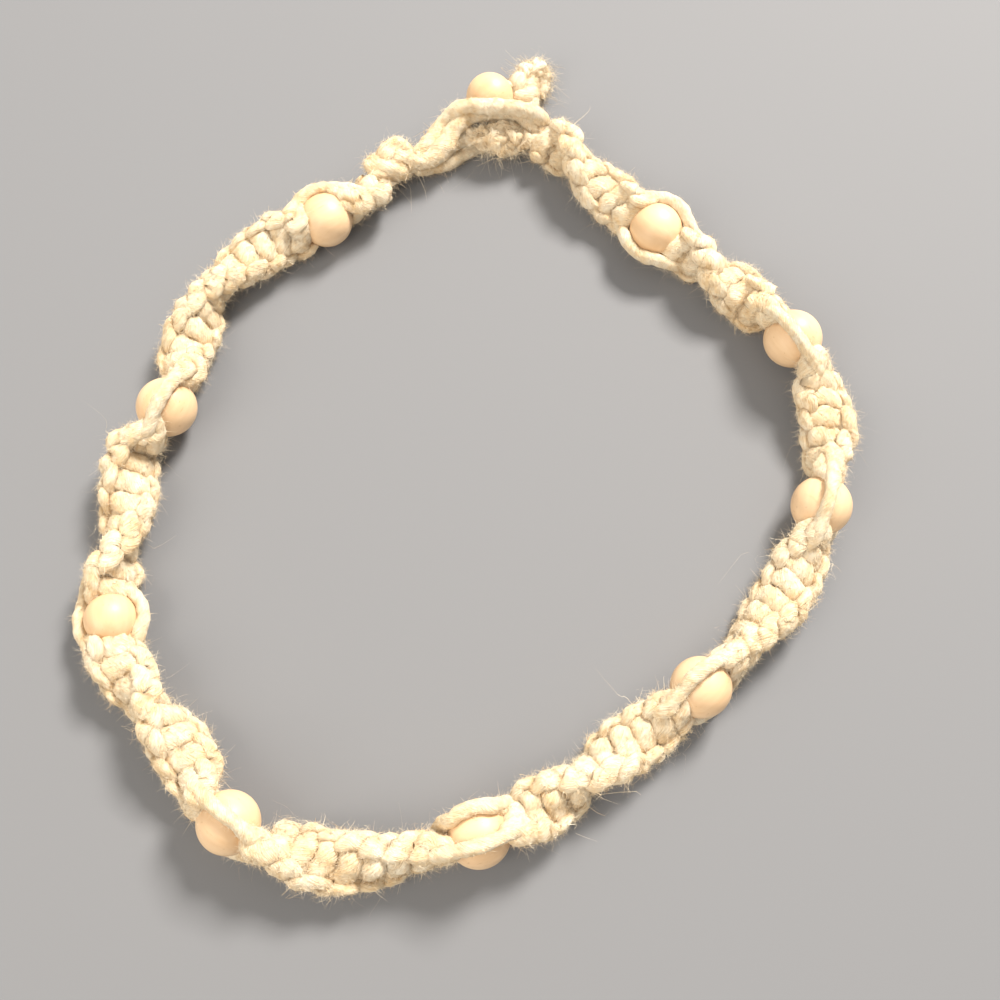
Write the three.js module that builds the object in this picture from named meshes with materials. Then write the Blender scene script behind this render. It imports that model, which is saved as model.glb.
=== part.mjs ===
// A beaded hemp necklace lying flat: a spiral of half knots with wooden beads, and a loop over a button bead.
// Millimetres, +Z up. The necklace lies on the plane z = 0 and its closure is on the +Y side.

import * as THREE from 'three';

// Beads.
const BEAD_BORE = 3.6;
const BEAD_SIDES = 14;
const BEAD_LATITUDES = [-50, -30, -10, 10, 30, 50];
const BEAD_BAND_LATITUDE = 10;
const HALF_FACET = Math.PI / BEAD_SIDES;
const BEAD_CORNERS = 1 / Math.cos(HALF_FACET) / Math.cos((BEAD_BAND_LATITUDE * Math.PI) / 180);
const BUTTON_DIAMETER = 9.2;

// Cord. Neighbouring pieces keep GAP between them.
const GAP = 0.3;
const CORD_DIAMETER = 2;
const CORD_SIDES = 6;
const WRAP_LATITUDES = [-47, -30, -15, 0, 15, 30, 47];
const WRAP_STEPS = 7;
const CORE_RADIUS = (BEAD_BORE / 2) * Math.cos(HALF_FACET) - GAP;

// The knotted ribbon: half its least width and depth, and how far its loops and bars stand out.
const RIBBON_SIDES = 10;
const STATIONS_PER_KNOT = 4;
const RIBBON_HALF_WIDTH = 4.4;
const RIBBON_HALF_DEPTH = 2.4;
const LOOP_BULGE = 1.0;
const BAR_BULGE = 0.6;
const END_SCALES = [0.5, 0.82];
const RIBBON_HEIGHT = 4.5;

// Beside a bead the ribbon starts straight for LEAD and its first stations hold part of the bead's heading.
const LEAD = 0.8;
const HEADING_HOLD = [1, 0.6, 0.25];

// The strung beads, anticlockwise from the closure. over and under are the directions, in degrees about
// the route from its inner side upwards, in which the two working cords pass the bead.
const BEADS = [
  { x: -32.6, y: 53.6, diameter: 9.8, lift: 0.0, over: 152, under: 212 },
  { x: -58.5, y: 15.2, diameter: 10.4, lift: 0.8, over: 80, under: 258 },
  { x: -64.7, y: -22.2, diameter: 8.7, lift: 0.0, over: 0, under: 180 },
  { x: -42.3, y: -54.7, diameter: 10.0, lift: 0.8, over: 78, under: 232 },
  { x: -3.3, y: -56.6, diameter: 10.2, lift: 0.0, over: 105, under: 48 },
  { x: 32.5, y: -33.7, diameter: 10.0, lift: 0.8, over: 72, under: 232 },
  { x: 54.8, y: -2.9, diameter: 10.2, lift: 0.8, over: 88, under: 232 },
  { x: 52.5, y: 28.5, diameter: 10.3, lift: 0.8, over: 72, under: 232 },
  { x: 29.2, y: 51.3, diameter: 10.0, lift: 0.0, over: 150, under: 0 },
];

// The knotted stretches before, between and after the beads: where they bend, how many half knots they have,
// and how far the ribbon is turned at its start, middle and end. 0 lies flat and 90 stands on edge.
const STRETCHES = [
  {
    knots: 1, start: 30, middle: 55, end: 78,
    bends: [[-23.9, 60.6]],
  },
  {
    knots: 8, start: 118, middle: 262, end: 430,
    bends: [[-41.0, 49.8], [-46.9, 45.1], [-52.2, 39.8], [-55.1, 31.8], [-56.8, 24.2]],
  },
  {
    knots: 7, start: 80, middle: 195, end: 345,
    bends: [[-63.8, 8.6], [-64.0, 0.4], [-64.1, -7.2], [-65.0, -13.6]],
  },
  {
    knots: 6, start: 155, middle: 300, end: 445,
    bends: [[-61.8, -30.2], [-57.4, -36.0], [-51.9, -42.3], [-48.0, -48.2]],
  },
  {
    knots: 7, start: 85, middle: 215, end: 285,
    bends: [[-34.6, -58.3], [-26.9, -60.5], [-19.0, -60.4], [-11.4, -58.7]],
  },
  {
    knots: 7, start: 120, middle: 305, end: 430,
    bends: [[4.6, -53.6], [11.2, -49.6], [18.8, -43.9], [26.2, -38.9]],
  },
  {
    knots: 7, start: 72, middle: 155, end: 262,
    bends: [[39.2, -28.1], [43.6, -22.9], [48.2, -17.0], [51.6, -11.2]],
  },
  {
    knots: 5, start: 80, middle: 178, end: 258,
    bends: [[56.8, 4.6], [57.8, 12.6], [56.4, 20.8]],
  },
  {
    knots: 5, start: 60, middle: 205, end: 335,
    bends: [[47.4, 35.0], [42.0, 40.6], [36.0, 45.8]],
  },
  {
    knots: 6, start: 135, middle: 215, end: 350,
    bends: [[22.9, 57.1], [18.6, 61.8], [14.4, 67.2], [9.4, 71.4]],
  },
];

// The closure, all in plan places x, y and heights z.
const BUTTON = { x: -2.0, y: 81.4, heading: 38 };
const CLOSURE_CORDS = [
  {
    name: 'closure_cord_outer',
    route: [
      [-14.6, 69.2, 4.8], [-12.5, 71.6, 5.1], [-11.0, 74.0, 5.6], [-9.3, 75.5, 7.0], [-6.5, 75.9, 9.0],
      [-3.2, 75.4, 9.6], [0.4, 75.2, 9.8], [3.6, 74.9, 9.6], [6.3, 75.1, 8.1], [8.1, 75.5, 5.1],
      [7.9, 75.8, 2.5], [5.4, 75.6, 1.0], [2.0, 75.6, 1.0], [-2.0, 75.4, 1.0],
      [-5.6, 74.5, 1.0], [-8.8, 72.7, 1.0], [-11.8, 70.6, 1.3], [-14.9, 68.7, 2.1],
    ],
  },
  {
    name: 'closure_cord_inner',
    route: [
      [-13.1, 67.0, 4.9], [-11.0, 69.3, 5.3], [-9.4, 71.7, 6.0], [-7.9, 73.6, 6.7], [-5.7, 75.0, 6.8],
      [-3.2, 75.8, 7.1], [0.4, 76.0, 7.4], [3.4, 75.7, 7.2], [5.2, 74.9, 5.7], [6.5, 73.9, 3.8],
      [6.6, 73.5, 2.2], [4.9, 73.3, 1.0], [1.6, 73.2, 1.0], [-2.2, 73.0, 1.0],
      [-5.2, 71.9, 1.0], [-8.0, 69.8, 1.1], [-10.6, 68.0, 1.7], [-13.7, 66.8, 2.5],
    ],
  },
];
const BUTTON_CORE_ROUTE = [[-6.5, 72.7, 4.1], [-7.6, 74.4, 3.9], [-7.9, 76.2, 3.9]];
const BUTTON_SIDE_ROUTE = [[2.6, 74.8, 4.0], [3.6, 76.8, 3.9], [4.6, 78.6, 3.3], [5.1, 79.8, 2.9]];
const BUTTON_SIDE_DIAMETER = 3.0;
const LOOP_KNOT = [
  { x: -24.7, y: 62.9, z: 4.2, width: 2.6, height: 2.4 },
  { x: -24.0, y: 63.5, z: 4.3, width: 4.2, height: 3.6 },
  { x: -22.1, y: 64.8, z: 4.4, width: 5.0, height: 4.1 },
  { x: -20.4, y: 65.8, z: 4.3, width: 4.4, height: 3.8 },
  { x: -18.6, y: 67.0, z: 4.4, width: 4.8, height: 4.0 },
  { x: -16.9, y: 68.1, z: 4.2, width: 4.0, height: 3.4 },
  { x: -16.1, y: 68.6, z: 4.0, width: 2.4, height: 2.2 },
];
const INNER_KNOT = [
  { x: 7.9, y: 71.2, z: 4.8, width: 1.1, height: 1.4 },
  { x: 6.6, y: 71.2, z: 4.8, width: 1.1, height: 1.4 },
  { x: 5.0, y: 71.3, z: 4.7, width: 1.7, height: 1.7 },
  { x: 3.4, y: 71.5, z: 4.6, width: 2.4, height: 2.1 },
  { x: 0.6, y: 71.6, z: 4.6, width: 2.5, height: 2.2 },
  { x: -2.4, y: 71.6, z: 4.6, width: 2.3, height: 2.1 },
  { x: -4.6, y: 71.6, z: 4.4, width: 1.5, height: 1.6 },
];
const END_KNOT = [
  { x: 4.9, y: 80.9, z: 2.6, width: 1.5, height: 1.6 },
  { x: 5.1, y: 81.9, z: 2.8, width: 2.2, height: 2.4 },
  { x: 5.3, y: 83.6, z: 3.0, width: 2.4, height: 2.7 },
  { x: 5.5, y: 85.3, z: 3.0, width: 2.2, height: 2.5 },
  { x: 5.7, y: 86.3, z: 3.0, width: 1.6, height: 1.8 },
];
const FRAYED_ENDS = [
  { x: 5.8, y: 86.8, z: 3.0, width: 1.7, height: 1.8 },
  { x: 5.9, y: 87.7, z: 3.0, width: 2.6, height: 2.5 },
  { x: 6.1, y: 89.5, z: 3.0, width: 3.0, height: 2.7 },
  { x: 6.3, y: 91.1, z: 2.9, width: 2.2, height: 2.2 },
  { x: 6.4, y: 91.9, z: 2.8, width: 1.2, height: 1.2 },
];

const UP = new THREE.Vector3(0, 0, 1);
const necklace = new THREE.Group();

function radians(degrees) {
  return (degrees * Math.PI) / 180;
}

// A smooth swelling that is 0 at whole numbers and 1 halfway between them.
function swell(phase) {
  return 0.5 - 0.5 * Math.cos(2 * Math.PI * phase);
}

function hemp() {
  return new THREE.MeshStandardMaterial({ name: 'natural_hemp', color: 0xe3d0a8, roughness: 0.95 });
}

function wood() {
  return new THREE.MeshStandardMaterial({ name: 'pale_wood', color: 0xf0c896, roughness: 0.45 });
}

function numbered(name, index) {
  return `${name}_${String(index + 1).padStart(2, '0')}`;
}

function addMesh(name, geometry, material) {
  const mesh = new THREE.Mesh(geometry, material);
  mesh.name = name;
  necklace.add(mesh);
  return mesh;
}

// Cord that rests on the surface is pressed flat against it.
function restOnSurface(geometry) {
  const place = geometry.attributes.position;
  for (let i = 0; i < place.count; i += 1) {
    place.setZ(i, Math.max(place.getZ(i), 0));
  }
  return geometry;
}

// A closed solid through rings of equally many points, each ring running anticlockwise about the way ahead.
function loft(rings) {
  const sides = rings[0].length;
  const lastRing = (rings.length - 1) * sides;
  const places = rings.flat().flatMap((point) => point.toArray());
  const faces = [];
  for (let ring = 0; ring < lastRing; ring += sides) {
    for (let i = 0; i < sides; i += 1) {
      const next = (i + 1) % sides;
      faces.push(ring + i, ring + next, ring + sides + next);
      faces.push(ring + i, ring + sides + next, ring + sides + i);
    }
  }
  for (let i = 1; i + 1 < sides; i += 1) {
    faces.push(0, i + 1, i);
    faces.push(lastRing, lastRing + i, lastRing + i + 1);
  }
  const geometry = new THREE.BufferGeometry();
  geometry.setAttribute('position', new THREE.Float32BufferAttribute(places, 3));
  geometry.setIndex(faces);
  geometry.computeVertexNormals();
  return geometry;
}

// The level side direction and the rising direction that go with a way ahead.
function sideways(ahead) {
  const side = new THREE.Vector3().crossVectors(UP, ahead).normalize();
  const rise = new THREE.Vector3().crossVectors(ahead, side);
  return { side, rise };
}

function ellipseRing(centre, ahead, halfWidth, halfHeight, sides) {
  const { side, rise } = sideways(ahead);
  const ring = [];
  for (let i = 0; i < sides; i += 1) {
    const angle = (2 * Math.PI * (i + 0.5)) / sides;
    const point = centre.clone();
    point.addScaledVector(side, halfWidth * Math.cos(angle));
    point.addScaledVector(rise, halfHeight * Math.sin(angle));
    ring.push(point);
  }
  return ring;
}

// One station of the ribbon of half knots. Loops bulge at its two edges in turn, and a slanted bar crosses
// each face in turn, half a knot apart.
function ribbonRing(centre, ahead, turn, knot, scale) {
  const { side, rise } = sideways(ahead);
  const ring = [];
  for (let i = 0; i < RIBBON_SIDES; i += 1) {
    const angle = (2 * Math.PI * (i + 0.5)) / RIBBON_SIDES;
    const across = Math.cos(angle);
    const through = Math.sin(angle);
    const loopPhase = across > 0 ? knot : knot + 0.5;
    const barPhase = through > 0 ? knot + 0.5 + 0.25 * across : knot - 0.25 * across;
    const outward = scale * across * (RIBBON_HALF_WIDTH + LOOP_BULGE * swell(loopPhase));
    const upward = scale * through * (RIBBON_HALF_DEPTH + BAR_BULGE * swell(barPhase));
    const point = centre.clone();
    point.addScaledVector(side, outward * Math.cos(turn) - upward * Math.sin(turn));
    point.addScaledVector(rise, outward * Math.sin(turn) + upward * Math.cos(turn));
    ring.push(point);
  }
  return ring;
}

function routePoint(place) {
  return new THREE.Vector3(place[0], place[1], place[2] ?? RIBBON_HEIGHT);
}

// The middle and the level axis of each strung bead. The axis points from the bend before to the one after.
const beadPlaces = BEADS.map((bead, index) => {
  const before = routePoint(STRETCHES[index].bends.at(-1));
  const after = routePoint(STRETCHES[index + 1].bends[0]);
  return {
    middle: new THREE.Vector3(bead.x, bead.y, bead.diameter / 2 + bead.lift),
    axis: after.sub(before).setZ(0).normalize(),
    radius: bead.diameter / 2,
  };
});

function alongBead(place, distance) {
  return place.middle.clone().addScaledVector(place.axis, distance);
}

// Two points where the route leaves a bead (way 1) or reaches it (way -1): at the shoulder of the knots,
// and a little further off, where the route still has the bead's heading.
function shoulderPoints(place, way) {
  const shoulder = alongBead(place, way * (place.radius + GAP));
  const lead = alongBead(place, way * (place.radius + GAP + LEAD));
  return way > 0 ? [shoulder, lead] : [lead, shoulder];
}

function stretchCurve(index) {
  const before = beadPlaces[index - 1];
  const after = beadPlaces[index];
  return new THREE.CatmullRomCurve3([
    ...(before ? shoulderPoints(before, 1) : []),
    ...STRETCHES[index].bends.map(routePoint),
    ...(after ? shoulderPoints(after, -1) : []),
  ]);
}

// The turn of the ribbon at a fraction of its stretch: a parabola through its start, middle and end.
function ribbonTurn(stretch, fraction) {
  const { start, middle, end } = stretch;
  const bow = 2 * (start + end - 2 * middle);
  return radians(start + (end - start) * fraction - bow * fraction * (1 - fraction));
}

function addStretch(index) {
  const stretch = STRETCHES[index];
  const curve = stretchCurve(index);
  const stations = stretch.knots * STATIONS_PER_KNOT;
  const rings = [];
  for (let station = 0; station <= stations; station += 1) {
    const fraction = station / stations;
    const fromEnd = Math.min(station, stations - station);
    const bead = fraction < 0.5 ? beadPlaces[index - 1] : beadPlaces[index];
    const ahead = curve.getTangentAt(fraction);
    if (bead) {
      ahead.lerp(bead.axis, HEADING_HOLD[fromEnd] ?? 0).normalize();
    }
    const turn = ribbonTurn(stretch, fraction);
    const scale = END_SCALES[fromEnd] ?? 1;
    rings.push(ribbonRing(curve.getPointAt(fraction), ahead, turn, station / STATIONS_PER_KNOT, scale));
  }
  const nextBead = beadPlaces[index];
  if (nextBead) {
    for (const distance of [-nextBead.radius - GAP, nextBead.radius]) {
      const centre = alongBead(nextBead, distance);
      rings.push(ellipseRing(centre, nextBead.axis, CORE_RADIUS, CORE_RADIUS, RIBBON_SIDES));
    }
  }
  addMesh(numbered('knots', index), restOnSurface(loft(rings)), hemp());
}

// A bored ball. A flat facet of its widest band faces down, so that it has a face to rest on.
function beadGeometry(diameter) {
  const boreRadius = BEAD_BORE / 2;
  const ballRadius = (diameter / 2) * BEAD_CORNERS;
  const rimHeight = Math.sqrt((diameter / 2) ** 2 - boreRadius ** 2);
  const outline = [new THREE.Vector2(boreRadius, -rimHeight)];
  for (const latitude of BEAD_LATITUDES) {
    const angle = radians(latitude);
    outline.push(new THREE.Vector2(ballRadius * Math.cos(angle), ballRadius * Math.sin(angle)));
  }
  outline.push(new THREE.Vector2(boreRadius, rimHeight));
  outline.push(outline[0].clone());
  return new THREE.LatheGeometry(outline, BEAD_SIDES, -Math.PI / BEAD_SIDES);
}

// The lathe turns about its own +Y, which is laid along the axis, with its own +Z pointing down.
function addBead(name, diameter, place) {
  const bead = addMesh(name, beadGeometry(diameter), wood());
  const down = UP.clone().negate();
  const across = new THREE.Vector3().crossVectors(place.axis, down);
  bead.quaternion.setFromRotationMatrix(new THREE.Matrix4().makeBasis(across, place.axis, down));
  bead.position.copy(place.middle);
}

// A round cord along a smooth curve through the points.
function addCord(name, points, diameter, sides, steps) {
  const outline = [];
  for (let i = 0; i < sides; i += 1) {
    const angle = (2 * Math.PI * i) / sides;
    outline.push(new THREE.Vector2(Math.cos(angle), Math.sin(angle)).multiplyScalar(diameter / 2));
  }
  const section = new THREE.Shape(outline);
  const extrudePath = new THREE.CatmullRomCurve3(points);
  const geometry = new THREE.ExtrudeGeometry(section, { steps, extrudePath, bevelEnabled: false });
  addMesh(name, restOnSurface(geometry), hemp());
}

// A working cord carried past a bead, clear of its surface.
function addWrap(name, place, direction) {
  const { side, rise } = sideways(place.axis);
  const outward = side.multiplyScalar(Math.cos(radians(direction)));
  outward.addScaledVector(rise, Math.sin(radians(direction)));
  const reach = place.radius * BEAD_CORNERS + CORD_DIAMETER / 2 + GAP;
  const points = WRAP_LATITUDES.map((degrees) => {
    const angle = radians(degrees);
    return alongBead(place, reach * Math.sin(angle)).addScaledVector(outward, reach * Math.cos(angle));
  });
  addCord(name, points, CORD_DIAMETER, CORD_SIDES, WRAP_STEPS);
}

// A tied knot or a tuft of cord ends through stations, swollen in slanted bands.
function addLump(name, stations, bands, sides) {
  const spine = new THREE.CatmullRomCurve3(stations.map((row) => new THREE.Vector3(row.x, row.y, row.z)));
  const rings = stations.map((row, index) => {
    const fraction = index / (stations.length - 1);
    const { side, rise } = sideways(spine.getTangent(fraction));
    const ring = [];
    for (let i = 0; i < sides; i += 1) {
      const angle = (2 * Math.PI * (i + 0.5)) / sides;
      const swelling = 1 + bands.depth * Math.cos(2 * angle - 2 * Math.PI * bands.turns * fraction);
      const point = spine.getPoint(fraction);
      point.addScaledVector(side, row.width * swelling * Math.cos(angle));
      point.addScaledVector(rise, row.height * swelling * Math.sin(angle));
      ring.push(point);
    }
    return ring;
  });
  addMesh(name, restOnSurface(loft(rings)), hemp());
}

STRETCHES.forEach((stretch, index) => addStretch(index));

BEADS.forEach((bead, index) => {
  const place = beadPlaces[index];
  addBead(numbered('bead', index), bead.diameter, place);
  addWrap(`${numbered('wrap', index)}_over`, place, bead.over);
  addWrap(`${numbered('wrap', index)}_under`, place, bead.under);
});

addLump('loop_knot', LOOP_KNOT, { depth: 0.12, turns: 1 }, 12);
for (const cord of CLOSURE_CORDS) {
  addCord(cord.name, cord.route.map(routePoint), CORD_DIAMETER, 8, 32);
}
addLump('inner_knot', INNER_KNOT, { depth: 0.05, turns: 1.5 }, 10);
addLump('end_knot', END_KNOT, { depth: 0.08, turns: 1 }, 10);
addLump('frayed_ends', FRAYED_ENDS, { depth: 0.1, turns: 1.5 }, 10);

// The core cords reach the button bead from under the loop and end behind it. The working cords go straight.
const button = {
  middle: new THREE.Vector3(BUTTON.x, BUTTON.y, BUTTON_DIAMETER / 2),
  axis: new THREE.Vector3(Math.cos(radians(BUTTON.heading)), Math.sin(radians(BUTTON.heading)), 0),
};
addBead('button_bead', BUTTON_DIAMETER, button);
addCord('button_core_cord', [
  ...BUTTON_CORE_ROUTE.map(routePoint),
  ...[-5.0, -2.0, 2.0, 4.9].map((distance) => alongBead(button, distance)),
], 2 * CORE_RADIUS, 8, 14);
addCord('button_side_cord', BUTTON_SIDE_ROUTE.map(routePoint), BUTTON_SIDE_DIAMETER, 8, 5);

// The origin is the middle of the underside of the necklace's box.
const box = new THREE.Box3().setFromObject(necklace, true);
const boxMiddle = box.getCenter(new THREE.Vector3());
necklace.position.set(-boxMiddle.x, -boxMiddle.y, -box.min.z);

export default necklace;
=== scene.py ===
# %% [markdown]
# # A beaded hemp necklace
#
# Four hemp cords make this necklace. Two of them, the core, run straight through nine wooden beads. The
# other two, the working cords, are tied round the core in half knots. A half knot is half of a reef
# knot, and because every one is tied to the same side, the knotted ribbon turns into a spiral.
#
# The ribbon could be one rope with a knotted look sculpted into it. Instead, each cord is laid here along
# the way that it really takes, and the knots come out of that by themselves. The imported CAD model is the
# frame: it says where each bead and each stretch of knots lies, and every piece made here rides on it.

# %% Load the frame
import math

import bmesh
import bpy
import numpy as np
from mathutils import Matrix, Vector


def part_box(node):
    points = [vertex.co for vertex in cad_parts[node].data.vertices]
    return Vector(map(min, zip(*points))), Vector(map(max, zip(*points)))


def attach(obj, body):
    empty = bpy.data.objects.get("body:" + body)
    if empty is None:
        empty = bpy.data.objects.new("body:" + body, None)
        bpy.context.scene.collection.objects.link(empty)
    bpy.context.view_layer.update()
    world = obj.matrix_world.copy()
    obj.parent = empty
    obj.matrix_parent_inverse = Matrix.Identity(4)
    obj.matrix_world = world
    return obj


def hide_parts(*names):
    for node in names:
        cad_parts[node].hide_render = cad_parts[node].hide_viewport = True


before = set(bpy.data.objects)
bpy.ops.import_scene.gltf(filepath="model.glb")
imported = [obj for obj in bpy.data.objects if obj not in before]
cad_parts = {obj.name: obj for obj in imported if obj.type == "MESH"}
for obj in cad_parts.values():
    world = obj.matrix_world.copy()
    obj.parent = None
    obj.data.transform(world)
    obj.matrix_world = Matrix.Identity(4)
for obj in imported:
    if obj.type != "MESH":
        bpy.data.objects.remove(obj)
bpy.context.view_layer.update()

MM = 0.001
UP = np.array([0.0, 0.0, 1.0])
TINY = 1e-6
random = np.random.default_rng(7)

# %% [markdown]
# ## The plan of the necklace
#
# Between two beads the ribbon of knots is one stretch. It bends as it was laid down, and because every
# knot twists it a little further, it shows now a flat face and now an edge. The way round could be one
# curve drawn in the viewport. A short list of places was chosen instead, because each bend can then be
# read and moved, and the solids were made from the same list.
#
# All lengths are in millimetres. The drawing's own origin lies a little off the frame's, so ORIGIN moves
# drawn places into the frame. Each stretch says how far its ribbon is turned at its start, middle and
# end, in degrees (0 lies flat and 90 stands on edge), and where it bends.

# %% The ten stretches of knots
ORIGIN = np.array([4.222, -13.361, 0.0])
RIBBON_HEIGHT = 4.5

STRETCHES = [
    dict(turn=(30, 55, 78), bends=[(-23.9, 60.6)]),
    dict(
        turn=(118, 262, 430),
        bends=[(-41.0, 49.8), (-46.9, 45.1), (-52.2, 39.8), (-55.1, 31.8), (-56.8, 24.2)],
    ),
    dict(turn=(80, 195, 345), bends=[(-63.8, 8.6), (-64.0, 0.4), (-64.1, -7.2), (-65.0, -13.6)]),
    dict(turn=(155, 300, 445), bends=[(-61.8, -30.2), (-57.4, -36.0), (-51.9, -42.3), (-48.0, -48.2)]),
    dict(turn=(85, 215, 285), bends=[(-34.6, -58.3), (-26.9, -60.5), (-19.0, -60.4), (-11.4, -58.7)]),
    dict(turn=(120, 305, 430), bends=[(4.6, -53.6), (11.2, -49.6), (18.8, -43.9), (26.2, -38.9)]),
    dict(turn=(72, 155, 262), bends=[(39.2, -28.1), (43.6, -22.9), (48.2, -17.0), (51.6, -11.2)]),
    dict(turn=(80, 178, 258), bends=[(56.8, 4.6), (57.8, 12.6), (56.4, 20.8)]),
    dict(turn=(60, 205, 335), bends=[(47.4, 35.0), (42.0, 40.6), (36.0, 45.8)]),
    dict(turn=(135, 215, 350), bends=[(22.9, 57.1), (18.6, 61.8), (14.4, 67.2), (9.4, 71.4)]),
]


def drawn(place):
    """A drawn place as a point of the frame. A place without a height gets the ribbon's own."""
    full = tuple(place) if len(place) == 3 else (*place, RIBBON_HEIGHT)
    return np.array(full, float) + ORIGIN


print("stretches of knots:", len(STRETCHES))

# %% [markdown]
# ## Where the beads sit
#
# A bead sits between two stretches, and its bore points from the one to the other. The beads' middles
# and sizes could be typed in again. They are asked of the frame, so that they can't differ from it.

# %% The nine strung beads
def unit(vector):
    """A vector drawn out to length 1."""
    return vector / max(np.linalg.norm(vector), TINY)


def bead_place(node):
    """The middle and radius of a CAD bead, in millimetres."""
    low, high = (np.array(corner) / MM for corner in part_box(node))
    return (low + high) / 2, (high[2] - low[2]) / 2


beads = []
for index, (stretch, following) in enumerate(zip(STRETCHES, STRETCHES[1:])):
    middle, radius = bead_place(f"bead_{index + 1:02d}")
    level_way = (drawn(following["bends"][0]) - drawn(stretch["bends"][-1])) * [1, 1, 0]
    beads.append(dict(middle=middle, radius=radius, axis=unit(level_way)))

widths = [round(2 * bead["radius"], 1) for bead in beads]
print(len(beads), "strung beads of", min(widths), "to", max(widths), "mm")

# %% [markdown]
# ## Smooth routes
#
# A cord under light tension takes no sharp corners. A spline modifier could round the route off, but it
# would leave the drawn places. A centripetal Catmull-Rom curve goes through every one of them without
# overshooting. It is then cut into even steps, so that the surface wound about it has even detail.

# %% Curves through the drawn places
ROUTE_STEP = 0.2
CENTRIPETAL = 0.5
CUTS_PER_SPAN = 12
FEWEST_STEPS = 3


def between(t, start, end, first, second):
    """The point reached at t on the way from first, left at start, to second, reached at end."""
    return (end - t) / (end - start) * first + (t - start) / (end - start) * second


def span_points(p0, p1, p2, p3):
    """The points of a Catmull-Rom curve from p1 almost to p2."""
    spans = [max(np.linalg.norm(b - a), TINY) ** CENTRIPETAL for a, b in ((p0, p1), (p1, p2), (p2, p3))]
    t1, t2, t3 = np.cumsum(spans)
    t = np.linspace(t1, t2, CUTS_PER_SPAN + 1)[:-1, None]
    a1 = between(t, 0, t1, p0, p1)
    a2 = between(t, t1, t2, p1, p2)
    a3 = between(t, t2, t3, p2, p3)
    b1 = between(t, 0, t2, a1, a2)
    b2 = between(t, t1, t3, a2, a3)
    return between(t, t1, t2, b1, b2)


def distances(points):
    """How far along a line each of its points lies."""
    return np.concatenate([[0], np.cumsum(np.linalg.norm(np.diff(points, axis=0), axis=1))])


def smooth_curve(points, step):
    """Points every step or so along a smooth curve through the given points."""
    points = np.asarray(points, float)
    ends = [2 * points[0] - points[1], *points, 2 * points[-1] - points[-2]]
    fine = [span_points(*four) for four in zip(ends, ends[1:], ends[2:], ends[3:])]
    fine = np.vstack([*fine, points[-1:]])
    along = distances(fine)
    count = max(int(along[-1] / step), FEWEST_STEPS) + 1
    even = np.linspace(0, along[-1], count)
    return np.column_stack([np.interp(even, along, fine[:, i]) for i in range(3)])


way_round = smooth_curve([drawn(bend) for stretch in STRETCHES for bend in stretch["bends"]], ROUTE_STEP)
print("from the first bend to the last it is", round(distances(way_round)[-1]), "mm")

# %% [markdown]
# ## Directions along a route
#
# A tube needs to know at each ring which way is ahead and which way is out. If the way out were worked
# out afresh each time it could flip over in a bend and wring the tube. So it is carried along from
# ring to ring and only leaned as the route turns.

# %% Ahead and out
NEARLY_UPRIGHT = 0.1


def headings(points):
    """The direction ahead at each point of a line."""
    ahead = np.gradient(points, axis=0)
    return ahead / np.maximum(np.linalg.norm(ahead, axis=1), TINY)[:, None]


def carried_normals(ahead):
    """Directions out from a line, carried along it without twist."""
    start = np.cross(ahead[0], UP)
    if np.linalg.norm(start) < NEARLY_UPRIGHT:
        start = np.cross(ahead[0], [1.0, 0, 0])
    normals = [unit(start)]
    for direction in ahead[1:]:
        normals.append(unit(normals[-1] - direction * (normals[-1] @ direction)))
    return np.array(normals)


ways_out = carried_normals(headings(way_round))
print("the way out is level all the way round:", bool((abs(ways_out[:, 2]) < TINY).all()))

# %% [markdown]
# ## A length of hemp cord
#
# Hemp cord is twisted from plies of long fibres, and it is never quite even. A curve with a round bevel
# would be quick, but smooth as a wire. So the surface is wound here ring by ring: its section has one
# soft lobe for each ply, the lobes turn along the cord, and random lumps stand for uneven fibre.

# %% Uneven fibre and cut ends
FINE_LUMPS = 0.4
BROAD_LUMPS = 0.8
THICK_AND_THIN = 0.05
WANDER_STEP = 2.0
# How a cut end rounds off: distances from the end in radii, and how full the cord is there.
CUT_END = ([0, 0.2, 0.5, 1.0], [0.4, 0.7, 0.92, 1.0])
# Ends that run into another piece are narrowed over this length, and halfway along it still by this share.
NARROWED_OVER = 4.4
STILL_NARROW = 0.75


def random_lumps(rings, sides, reach):
    """A random field that closes round the cord, smoothed over so many neighbours each way."""
    width = 2 * reach + 1
    field = random.normal(0, 1, (rings + 2 * reach, sides))
    field = sum(field[i : i + rings] for i in range(width))
    return sum(np.roll(field, i, axis=1) for i in range(-reach, reach + 1)) / width


def thick_and_thin(along):
    """By what share the cord is thicker or thinner along its length."""
    marks = np.arange(0, along[-1] + 2 * WANDER_STEP, WANDER_STEP)
    return np.interp(along, marks, random.normal(0, THICK_AND_THIN, len(marks)))


def girth_along(along, radius, narrow_ends):
    """How full the cord is: rounded at its cut ends, and narrowed before them by the given share."""
    to_end = np.minimum(along, along[-1] - along)
    rounded = np.interp(to_end / radius, *CUT_END)
    shares = [1 - narrow_ends, 1 - STILL_NARROW * narrow_ends, 1]
    return rounded * np.interp(to_end, [0, NARROWED_OVER / 2, NARROWED_OVER], shares)


print("a cord is thicker or thinner by some", round(100 * THICK_AND_THIN), "% from place to place")

# %% [markdown]
# ## Cords pressed flat
#
# A cord drawn tight over others doesn't stay round: it is pressed flat against them and spreads to the
# sides. Soft-body simulation could find that, slowly. It is enough to know which line a cord is wound
# about: its section is made thinner towards that line and wider across it.

# %% Pressed against the core
# A pressed cord's thickness and width, as shares of the round cord's.
PRESSED = 0.82
SPREAD = 1.36


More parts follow.
